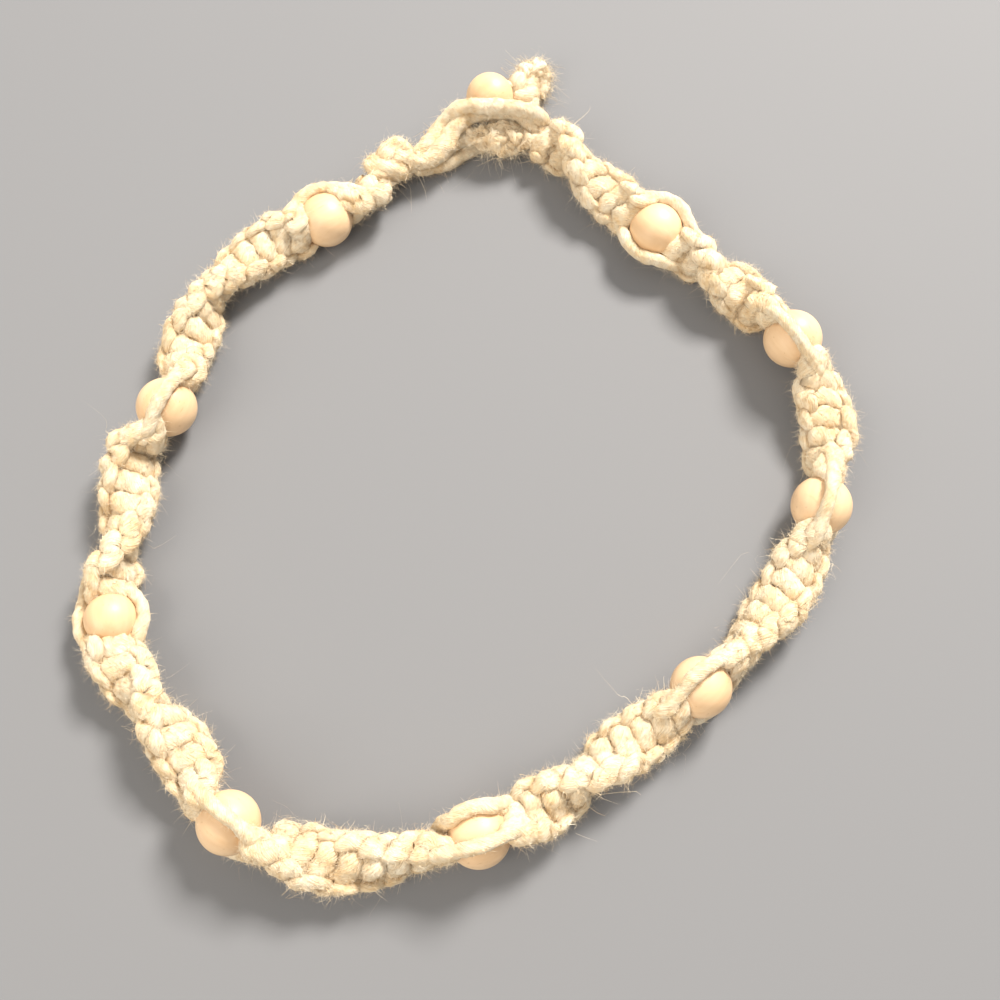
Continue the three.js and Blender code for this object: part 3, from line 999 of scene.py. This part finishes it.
print("each knot slips by about", SLIP, "of its length")

# %% [markdown]
# ## Tying the ten stretches
#
# All that was prepared comes together here: in each stretch two working cords, two core cords that they
# hide, the seams between them and the coat of loose fibres. One stretch could be made and copied, but
# copies show. Ten of their own cost a few seconds.

# %% Knotted hemp
CORE_STEP = 0.6
CORE_SIDES = 10
FEW_CURLS = 0.03

for index, count in enumerate(knot_counts):
    cords = [
        cord(working_line(index, first_way), WORKING_RADIUS, narrow_ends=0.4, wound_about=routes[index])
        for first_way in (1, -1)
    ]
    for across in CORE_PLACES:
        line = [in_ribbon(index, half / 2, across, 0) for half in range(2 * count + 1)]
        cords.append(cord(line, CORE_RADIUS, step=CORE_STEP, sides=CORE_SIDES))
    # Painted shade where the cords touch.
    paint_contact_shade(cords)
    coat = shaggy(cords[:2], more=1.0, curls=FEW_CURLS)
    add_hemp(f"knotted_hemp_{index + 1:02d}", [*cords, *coat], [f"knots_{index + 1:02d}"])
print("stretches tied:", len(knot_counts))

# %% [markdown]
# ## Working cords carried past the beads
#
# Between two stretches the working cords lie tight along the bead's outside, one on each side. They could
# be one piece with the knots. They are pieces of their own, as in the CAD, and each starts and ends
# inside the knots, so that no cut end shows.

# %% Cords past the beads
WRAP_RADIUS = 1.18
WRAP_LATITUDES = (-32, -16, 0, 16, 32)
LOWEST_PAST_BEADS = 1.0
# The cord meets the ribbon's edge this many knots from the bead. Its end lies further in, nearer the core.
INTO_KNOTS = 0.6
FURTHER_IN = 0.45
EDGE_REACH = 3.7
TUCKED_IN = 0.8
# The upper cord at the first bead runs straight on along the ribbon's edge, without a dip.
STRAIGHT_ON = (0, 0)
STRAIGHT_REACH = 5.0


def merging(index, knot, way, direction, reach=EDGE_REACH):
    """Where a cord from beside a bead meets the ribbon's edge: two places, the one nearer the bead last."""
    edge = math.degrees(ribbon_turn(STRETCHES[index], knot / knot_counts[index]))
    halfway = math.radians(turn_to(edge if way > 0 else edge + 180, direction) / 2)
    further = knot + (FURTHER_IN if knot < 1 else -FURTHER_IN)
    return [
        in_ribbon(index, further, (reach - TUCKED_IN) * way, 0.0),
        in_ribbon(index, knot, reach * math.cos(halfway) * way, reach * math.sin(halfway) * way),
    ]


def wrap_line(index, which):
    """One working cord past a bead, from inside the knots before it to inside the knots after it."""
    direction = WRAPS[index][which]
    way_before = ways_at_bead(index, index)[which]
    way_after = ways_at_bead(index, index + 1)[which]
    reach = STRAIGHT_REACH if (index, which) == STRAIGHT_ON else EDGE_REACH
    line = merging(index, knot_counts[index] - INTO_KNOTS, -way_before, direction)
    line += [past_bead(index, direction, latitude) for latitude in WRAP_LATITUDES]
    line += merging(index + 1, INTO_KNOTS, way_after, direction, reach)[::-1]
    return held_above_floor(line, LOWEST_PAST_BEADS)


for index in range(len(beads)):
    for which, label in enumerate(("over", "under")):
        part = cord(wrap_line(index, which), WRAP_RADIUS, ply_depth=0.04, lump=0.06)
        nap = fuzz([part], NAP, HALO, more=0.7)
        place = f"{index + 1:02d}_{label}"
        add_hemp(f"cord_past_bead_{place}", [part, *nap], [f"wrap_{place}"])
print("cords past beads:", 2 * len(WRAPS))

# %% [markdown]
# ## The shape of a turned bead
#
# The beads are turned on a lathe from pale close-grained wood, drilled and tumbled smooth, so the rim of
# the bore is a soft lip. A sphere with a hole cut in it would have a sharp rim and a messy mesh. So the
# bead is made as the lathe makes it: the outline of half a section, spun round the bore.

# %% The outline of half a section
BORE_RADIUS = 1.8
# The lip's width, and its depth as a share of that.
LIP = 0.35
LIP_DEPTH = 0.55
LIP_START = 0.2
LIP_PLACES = 5
BALL_PLACES = 41


def bead_outline(radius):
    """The (radius, height) places of the outline: the upper lip, down the ball, and the lower lip."""
    lip_angle = math.asin((BORE_RADIUS + LIP) / radius)
    top = radius * math.cos(lip_angle)
    lip = []
    for angle in np.linspace(LIP_START, math.pi / 2, LIP_PLACES):
        out = BORE_RADIUS + LIP * (1 - math.sin(angle))
        lip.append((out, top - LIP * LIP_DEPTH * (1 - math.cos(angle))))
    ball_angles = np.linspace(lip_angle, math.pi - lip_angle, BALL_PLACES)
    ball = [(radius * math.sin(angle), radius * math.cos(angle)) for angle in ball_angles]
    return lip[::-1] + ball + [(r, -z) for r, z in lip]


print("half a section of the first bead has", len(bead_outline(beads[0]["radius"])), "places")

# %% [markdown]
# ## Pale wood
#
# The wood is almost white when it is cut and goes honey-coloured under its thin wax. An image of wood
# would have to be wrapped round the ball. Noise in the bead's own space goes right through it, as real
# grain does: fine fibres and broader rings drawn out along the bore, and a few dark pores. The wax is a
# thin coat over the colour.

# %% The wood's colours and its material
GRAIN_COLOURS = [(0.3, (0.70, 0.45, 0.24)), (0.5, (0.77, 0.52, 0.30)), (0.7, (0.83, 0.60, 0.37))]
RING_COLOURS = [(0.35, (0.73, 0.48, 0.26)), (0.65, (0.84, 0.61, 0.38))]
RING_SHARE = 0.6
PORE_SHARE = [(0.70, (0, 0, 0)), (0.78, (0.5, 0.5, 0.5))]
PORE_BROWN = (0.50, 0.30, 0.14)


def wood_material():
    """Pale, close-grained wood with a thin coat of wax."""
    material, tree, surface = new_material("pale_wood", roughness=0.5)
    place = tree.nodes.new("ShaderNodeTexCoord").outputs["Object"]
    grain = noise(tree, stretched(tree, place, (1.0, 1.0, 0.12)), scale=900, detail=4)
    rings = noise(tree, stretched(tree, place, (1.0, 0.3, 0.25)), scale=260, detail=1)
    pores = noise(tree, stretched(tree, place, (1.0, 1.0, 0.2)), scale=2600, detail=1)

    fine = coloured(tree, grain, GRAIN_COLOURS)
    broad = coloured(tree, rings, RING_COLOURS)
    colour = mixed(tree, RING_SHARE, fine, broad)
    colour = mixed(tree, coloured(tree, pores, PORE_SHARE), colour, PORE_BROWN)
    tree.links.new(colour, surface.inputs["Base Color"])

    surface.inputs["Coat Weight"].default_value = 0.12
    surface.inputs["Coat Roughness"].default_value = 0.3
    relief(tree, surface, grain, distance=0.00005, strength=0.15)
    return material


wood = wood_material()
print("made", wood.name)

# %% [markdown]
# ## Ten wooden beads
#
# Real beads of one string differ a little in size. One could be made and copied, but each is turned
# anew here at its own size in the frame, with its bore along the string. It is also spun about that bore
# by chance, as a threaded bead is, so that no two show the same grain.

# %% Turning the beads
BEAD_SIDES = 60
# The way the button bead's bore points, from the frayed knot to the last one.
BUTTON_HEADING = math.radians(38)


def turned_bead(name, middle, radius, axis, node):
    """One bead, spun about its bore and set on its place."""
    bm = bmesh.new()
    outline = bead_outline(radius)
    rings = []
    for angle in np.arange(BEAD_SIDES) * 2 * math.pi / BEAD_SIDES:
        rings.append([bm.verts.new((r * math.cos(angle), r * math.sin(angle), z)) for r, z in outline])
    for here, there in zip(rings, rings[1:] + rings[:1]):
        for j in range(len(outline)):
            k = (j + 1) % len(outline)
            bm.faces.new((here[j], here[k], there[k], there[j]))
    bmesh.ops.recalc_face_normals(bm, faces=bm.faces)
    for face in bm.faces:
        face.smooth = True
    mesh = bpy.data.meshes.new(name)
    bm.to_mesh(mesh)
    bm.free()
    mesh.transform(Matrix.Scale(MM, 4))
    mesh.materials.append(wood)
    along_bore = Vector(axis).to_track_quat("Z", "Y").to_matrix().to_4x4()
    spin = Matrix.Rotation(random.uniform(0, 2 * math.pi), 4, "Z")
    place = Matrix.Translation(Vector(middle) * MM) @ along_bore @ spin
    return placed_piece(name, mesh, [node], place)


for index, bead in enumerate(beads):
    name = f"bead_{index + 1:02d}"
    turned_bead(f"wooden_{name}", bead["middle"], bead["radius"], bead["axis"], name)

button_axis = np.array([math.cos(BUTTON_HEADING), math.sin(BUTTON_HEADING), 0])
button_middle, button_radius = bead_place("button_bead")
turned_bead("wooden_button_bead", button_middle, button_radius, button_axis, "button_bead")
print("beads turned:", len(beads) + 1)

# %% [markdown]
# ## The closure loop
#
# At the left end the cords form a doubled loop that is hooked over the button bead. Its upper side lies
# over the neck of the button and its lower side passes beneath. A relaxed curve would find its own way
# through. Two lists of places were drawn instead, because each cord has to pass over the right things
# and under the right things, and in a list each crossing is set by its height.

# %% The loop's two cords
CLOSURE_CORDS = {
    "closure_cord_outer": [
        (-17.0, 67.6, 4.4), (-14.6, 69.3, 4.8), (-12.5, 71.7, 5.1), (-11.0, 74.0, 5.6), (-9.3, 75.5, 7.0),
        (-6.5, 75.9, 8.9), (-3.2, 75.4, 9.5), (0.4, 75.2, 9.7), (3.6, 74.9, 9.5), (6.3, 75.1, 8.1),
        (8.1, 75.5, 5.1), (7.9, 75.8, 2.6), (5.4, 75.6, 1.4), (2.0, 75.6, 1.4), (-2.0, 75.4, 1.4),
        (-5.6, 74.5, 1.4), (-8.8, 72.7, 1.4), (-11.8, 70.6, 1.6), (-14.9, 68.7, 2.2), (-17.4, 67.0, 3.2),
    ],
    "closure_cord_inner": [
        (-16.2, 66.2, 4.6), (-13.1, 67.0, 4.9), (-11.0, 69.3, 5.3), (-9.4, 71.7, 6.0), (-7.9, 73.6, 6.7),
        (-5.7, 75.0, 6.8), (-3.2, 75.8, 7.2), (0.4, 76.0, 7.4), (3.4, 75.7, 7.2), (5.2, 74.9, 5.7),
        (6.5, 73.9, 3.8), (6.6, 73.5, 2.3), (4.9, 73.3, 1.4), (1.6, 73.2, 1.4), (-2.2, 73.0, 1.4),
        (-5.2, 71.9, 1.4), (-8.0, 69.8, 1.4), (-10.6, 68.0, 1.8), (-13.7, 66.8, 2.6), (-16.6, 65.6, 3.4),
    ],
}
# Loosened fibre between the loop's upper and lower sides.
LOOSE_LINE = [(-14.4, 66.7, 3.4), (-11.4, 68.9, 3.6), (-8.6, 71.2, 3.8), (-5.6, 73.2, 3.9)]
LOOP_RADIUS = 1.45
LOOSE_RADIUS = 1.4
# The cord is fullest this far along, over this reach and by this share.
LOOP_SWELL = (6.8, 3.6, 0.38)


def drawn_line(places):
    """A list of drawn places as points of the frame."""
    return [drawn(place) for place in places]


for name, places in CLOSURE_CORDS.items():
    part = cord(drawn_line(places), LOOP_RADIUS, sides=20, ply_depth=0.02, lump=0.09, swell=LOOP_SWELL)
    # Painted shade where the cord touches itself further on.
    paint_contact_shade([part])
    parts = [part]
    if name == "closure_cord_inner":
        parts.append(cord(drawn_line(LOOSE_LINE), LOOSE_RADIUS, ply_depth=0.02, lump=0.2))
    add_hemp(f"hemp_{name}", [*parts, *shaggy(parts, more=1.3, curls=0.15)], [name])
print("loop cords:", len(CLOSURE_CORDS))

# %% [markdown]
# ## Overhand knots
#
# All four cords are gathered in one thick overhand knot where the loop begins. It could be a lump with
# grooves, but light finds the gaps between real turns. The middle of an overhand knot is a trefoil, a
# curve with three crossings that has a short formula. Two tails run from it along the heading.

# %% The knot that starts the loop
TREFOIL_HALF = 2.25
TREFOIL_PLACES = 17
# A tail's end and the bend before it: how far aside and how high, and how far out the bend lies.
TAIL_END = (-0.9, 0.3)
TAIL_BEND = (-1.5, 0.2)
BEND_OUT = (0.55, 1.0)


def tail(length, way):
    """The end of a knot's cord and the bend before it, out to one side of the knot."""
    share, extra = BEND_OUT
    end = (way * length, TAIL_END[0], way * TAIL_END[1])
    bend = (way * (share * length + extra), TAIL_BEND[0], way * TAIL_BEND[1])
    return [end, bend]


def overhand(middle, heading, size, tails, lowest, flat=0.9):
    """The line of an overhand knot: three crossings between two tails that leave along the heading."""
    along = np.array([math.cos(math.radians(heading)), math.sin(math.radians(heading)), 0])
    side = np.array([-along[1], along[0], 0])
    line = tail(tails[1], 1)
    for t in np.linspace(-TREFOIL_HALF, TREFOIL_HALF, TREFOIL_PLACES):
        out = math.sin(t) + 2 * math.sin(2 * t)
        aside = math.cos(t) - 2 * math.cos(2 * t)
        line.append((out, aside, -flat * math.sin(3 * t)))
    line += tail(tails[0], -1)[::-1]
    points = [drawn(middle) + size * (a * along + b * side + c * UP) for a, b, c in line]
    return held_above_floor(points, lowest)


LOOP_KNOT = dict(middle=(-20.3, 66.0, 4.3), heading=37, size=1.25, tails=(4.6, 4.4), lowest=1.7)
knot = cord(overhand(**LOOP_KNOT), radius=2.0, sides=24, plies=4, lay=16, ply_depth=0.12, lump=0.16)
# Painted shade where the knot's turns touch.
paint_contact_shade([knot], own_reach=7)
add_hemp("hemp_loop_knot", [knot, *shaggy([knot], more=1.8, curls=0.4)], ["loop_knot"])
print("the loop knot takes", round(float(knot["along"][-1])), "mm of cord")

# %% [markdown]
# ## Frayed hemp
#
# Where cords are often handled they fray, until a knot is mostly loose fibre. Millions of hairs would
# show it truly and be far too heavy. So a snarl is made: a thick soft length at its heart, short curled
# lengths of thinner cord all round it, and fibres only on those.

# %% Snarls
# The heart's half length and radius, and where its lengths start, as shares of the snarl's size.
HEART_REACH = 0.8
HEART_RADIUS = 0.8
STARTS_AT = (0.2, 0.9)
# How strongly a length goes round the heart, how much it wanders at each bend and how it is pulled back.
ROUND_THE_HEART = 2
SNARL_BENDS = 4
WANDER = 0.7
PULL_IN = 1.4


def snarl(middle, size, count, radius, length):
    """Short curled lengths of loosened cord that fill a rounded space, over a thick length of their own."""
    longest_way = np.array([0, 1, 0] if size[1] > size[0] else [1, 0, 0])
    heart = [drawn(middle) + np.array(size) * longest_way * t for t in (-HEART_REACH, 0, HEART_REACH)]
    made = [cord(heart, HEART_RADIUS * size[2], sides=24, ply_depth=0.02, lump=0.3)]
    for _ in range(count):
        start = random.normal(0, 1, 3)
        start *= random.uniform(*STARTS_AT) / np.linalg.norm(start)
        heading = random.normal(0, 1, 3) + np.cross(start, random.normal(0, ROUND_THE_HEART, 3))
        line = [start]
        for _ in range(SNARL_BENDS):
            heading = unit(heading + random.normal(0, WANDER, 3) - PULL_IN * line[-1])
            line.append(line[-1] + heading * length / SNARL_BENDS / np.mean(size))
        line = [point / max(np.linalg.norm(point), 1) for point in line]
        made.append(cord(drawn(middle) + np.array(line) * size, radius, sides=12, ply_depth=0.12, lump=0.1))
    return made


def faded(cords, share, painted_light_shift=0.0):
    """Seams of loosened fibre hold less shadow than those of tight cords: their painted shade is scaled
    down, and painted light can be laid over them.
    """
    paint_contact_shade(cords)
    for c in cords:
        c["seam"] = c["seam"] * share - painted_light_shift


print("a curled length has", SNARL_BENDS, "bends")

# %% [markdown]
# ## The frayed knot inside the loop
#
# At the right end the cords are knotted once more before the button, and this knot has frayed. One big
# snarl could stand for it, but it would come out round. A knotted line lies within instead, and three
# smaller snarls cover it, so that it keeps the long, uneven form of a knot.

# %% The inner knot
INNER_KNOT_LINE = [
    (11.0, 70.4, 4.8), (8.0, 71.2, 4.8), (5.2, 71.6, 4.8), (3.2, 73.0, 4.6), (0.6, 72.9, 5.6),
    (-1.4, 71.0, 5.6), (-0.2, 69.9, 4.4), (2.6, 70.4, 3.6), (3.4, 72.2, 4.0), (0.8, 72.8, 3.6),
    (-2.6, 71.6, 4.4), (-5.0, 71.7, 4.4), (-6.6, 72.8, 4.1),
]
# Each snarl's middle and size, how many lengths it has, and their radius and length.
INNER_SNARLS = [
    ((0.4, 71.5, 4.6), (4.8, 2.1, 2.0), 16, 0.7, 7),
    ((-3.4, 72.2, 4.6), (3.6, 2.1, 2.1), 10, 0.65, 6),
    ((0.6, 73.4, 5.4), (4.0, 1.7, 1.7), 9, 0.6, 6),
]

inner = [cord(drawn_line(INNER_KNOT_LINE), radius=1.3, ply_depth=0.1, lump=0.16)]
for snarl_parts in INNER_SNARLS:
    inner += snarl(*snarl_parts)
# Less painted shade in the frayed knot.
faded(inner, share=0.5)
add_hemp("hemp_inner_knot", [*inner, *fuzz(inner, NAP, CURLS, more=0.5)], ["inner_knot"])
print("lengths in the frayed knot:", len(inner))

# %% [markdown]
# ## Through and beside the button bead
#
# The core goes on through the button's bore, and the two working cords pass beside it to the last knot.
# The core could stop just inside each mouth of the bore, since no more of it shows. It is one whole
# cord here, so that the bead really is threaded and looks right from every side.

# %% Core and side cords
# The core's places before the button, and how far along the bore from its middle the others lie.
CORE_LINE = [(-4.6, 71.6, 4.4), (-6.4, 72.7, 4.1), (-7.6, 74.4, 3.9), (-7.9, 76.2, 3.9)]
THROUGH_BUTTON = (-5.0, -2.0, 2.0, 5.2)
SIDE_LINE = [
    (2.2, 73.4, 4.2), (2.6, 74.8, 4.0), (3.6, 76.8, 3.9),
    (4.6, 78.6, 3.3), (5.1, 80.4, 2.9), (5.2, 82.4, 2.8),
]
SIDE_BY_SIDE = np.array([1.0, -0.3, 0])

core_line = drawn_line(CORE_LINE) + [button_middle + button_axis * d for d in THROUGH_BUTTON]
core = cord(core_line, radius=1.4, ply_depth=0.1)
add_hemp("hemp_button_core", [core, *fuzz([core], NAP, HALO)], ["button_core_cord"])

sides = []
for shift in (-1.0, 1.0):
    line = [point + SIDE_BY_SIDE * shift for point in drawn_line(SIDE_LINE)]
    sides.append(cord(line, radius=1.5, lump=0.16))
# Painted shade where the two cords touch.
paint_contact_shade(sides)
add_hemp("hemp_button_sides", [*sides, *fuzz(sides, NAP, HALO)], ["button_side_cord"])
print("the core cord at the button is", round(float(core["along"][-1])), "mm long")

# %% [markdown]
# ## The last knot
#
# A last overhand knot holds the button on. It could be a copy of the loop's knot, but it is smaller and
# stands higher for its size, so it is tied anew with the same helper. Its frayed seams get less painted
# shade, and painted light makes the whole knot paler.

# %% The end knot
END_KNOT = dict(middle=(5.2, 83.7, 3.2), heading=82, size=0.85, tails=(3.4, 3.6), lowest=1.4, flat=1.2)
end_knot = cord(overhand(**END_KNOT), radius=1.75, ply_depth=0.05, lump=0.2)
# Less painted shade, and painted light over the whole knot.
faded([end_knot], share=0.5, painted_light_shift=0.3)
add_hemp("hemp_end_knot", [end_knot, *shaggy([end_knot], more=1.5, curls=0.6)], ["end_knot"])
print("the end knot takes", round(float(end_knot["along"][-1])), "mm of cord")

# %% [markdown]
# ## The tuft
#
# Behind the last knot the cut ends have opened into a tuft. A brush of straight hairs would look like a
# paintbrush. Two snarls make its body instead, and a spray of single curled fibres over the outside
# makes the edge soft, which the snarls alone would leave too clear.

# %% The frayed ends
TUFT_SNARLS = [
    ((6.4, 88.0, 3.1), (3.1, 2.7, 2.4), 16, 0.75, 6),
    ((8.4, 85.4, 2.4), (1.5, 2.3, 1.5), 6, 0.5, 4),
]
SPRAY_FIBRES = 900
SPRAY_LEANS = [0.9, 0.0, 0.25]
SPRAY_SIZE = [2.9, 2.6, 2.2]
SPRAY_LENGTHS = (0.5, 1.7)
SPRAY_LOWEST = 0.2

tuft = []
for snarl_parts in TUFT_SNARLS:
    tuft += snarl(*snarl_parts)
# The tuft gets little painted shade and strong painted light, which keeps it pale.
faded(tuft, share=0.3, painted_light_shift=1.0)
spray = random.normal(0, 1, (SPRAY_FIBRES, 3)) + SPRAY_LEANS
spray /= np.linalg.norm(spray, axis=1)[:, None]
roots = drawn(TUFT_SNARLS[0][0]) + spray * SPRAY_SIZE
roots[:, 2] = np.maximum(roots[:, 2], SPRAY_LOWEST)
lengths = random.uniform(*SPRAY_LENGTHS, SPRAY_FIBRES)
loose = fibres(roots, spray, np.cross(spray, UP), lengths, dict(CURLS, dark=0.0))
add_hemp("hemp_frayed_ends", [*tuft, loose, *fuzz(tuft, NAP, CURLS, more=0.6)], ["frayed_ends"])
print("lengths in the tuft:", len(tuft), "and fibres in its spray:", SPRAY_FIBRES)

# %% [markdown]
# ## The surface it lies on
#
# The necklace lies flat on something pale and dull. It could float, but then no shadow would tie it to
# the ground. One large square face is enough. It belongs to the stage and not to the necklace.

# %% A plain floor
FLOOR_REACH = 1.5
FLOOR_GREY = (0.20, 0.203, 0.213, 1)

corners = [(-1, -1), (1, -1), (1, 1), (-1, 1)]
floor_mesh = bpy.data.meshes.new("surface")
floor_mesh.from_pydata([(x * FLOOR_REACH, y * FLOOR_REACH, 0) for x, y in corners], [], [(0, 1, 2, 3)])
floor = bpy.data.objects.new("surface", floor_mesh)
bpy.context.scene.collection.objects.link(floor)
floor_material, _, floor_surface = new_material("plain_surface", roughness=0.8)
floor_surface.inputs["Base Color"].default_value = FLOOR_GREY
floor_mesh.materials.append(floor_material)
print("the floor is", 2 * FLOOR_REACH, "m wide")

# %% [markdown]
# ## Light
#
# Hemp shows its fibres best when light comes across it. One large soft lamp stands at the far right, and
# a weak one at the near left keeps the shadows open. A sky image could light it too, but each of two
# lamps can be moved with a known effect. The Standard view transform leaves the materials' own colours
# as they are, where a filmic one would grey them.

# %% Two lamps and a soft room
# Places and sizes in metres, power in watts.
LAMPS = {
    "key": dict(place=(0.50, 0.75, 0.85), size=0.34, power=32.0, colour=(1.0, 0.95, 0.88)),
    "fill": dict(place=(-0.60, -0.50, 0.70), size=0.8, power=8.0, colour=(1.0, 0.92, 0.80)),
}
ROOM_COLOUR = (1.0, 0.97, 0.93, 1)
ROOM_STRENGTH = 0.56


def lamp(name, place, size, power, colour):
    """A square lamp that looks at the middle of the necklace."""
    light = bpy.data.lights.new(name, "AREA")
    light.size = size
    light.energy = power
    light.color = colour
    holder = bpy.data.objects.new(name, light)
    bpy.context.scene.collection.objects.link(holder)
    holder.location = place
    holder.rotation_euler = (-Vector(place)).to_track_quat("-Z", "Y").to_euler()


for name, settings in LAMPS.items():
    lamp(name, **settings)
world = bpy.data.worlds.new("soft_room")
world.use_nodes = True
background = world.node_tree.nodes["Background"]
background.inputs["Color"].default_value = ROOM_COLOUR
background.inputs["Strength"].default_value = ROOM_STRENGTH
bpy.context.scene.world = world
bpy.context.scene.view_settings.view_transform = "Standard"
print("lamps:", len(LAMPS), "with", sum(settings["power"] for settings in LAMPS.values()), "W in all")

# %% [markdown]
# ## Camera
#
# The necklace is looked at from a little on the near side of straight above, as by someone who bends
# over a table. A longer lens from further off would flatten it. This one keeps the nearer beads a
# little larger.

# %% The camera
LENS = 38.95
SENSOR_WIDTH = 36
NEAREST = 0.005
CAMERA_PLACE = (0.0, -59.0, 181.65)
CAMERA_TILT = 18

camera_data = bpy.data.cameras.new("camera")
camera_data.lens = LENS
camera_data.sensor_width = SENSOR_WIDTH
camera_data.clip_start = NEAREST
camera = bpy.data.objects.new("camera", camera_data)
bpy.context.scene.collection.objects.link(camera)
camera.location = Vector(drawn(CAMERA_PLACE)) * MM
camera.rotation_euler = (math.radians(CAMERA_TILT), 0, 0)
bpy.context.scene.camera = camera
print("the camera stands", round(camera.location.length, 3), "m away")

# %% [markdown]
# ## Measuring what was made
#
# A maker lays a finished necklace along a ruler. Here the triangles of all the meshes are counted and
# printed.

# %% Counting triangles, and the end
meshes = [thing.data for thing in bpy.data.objects if thing.type == "MESH"]
triangles = sum(len(face.vertices) - 2 for mesh in meshes for face in mesh.polygons)
print("triangles in all:", triangles)
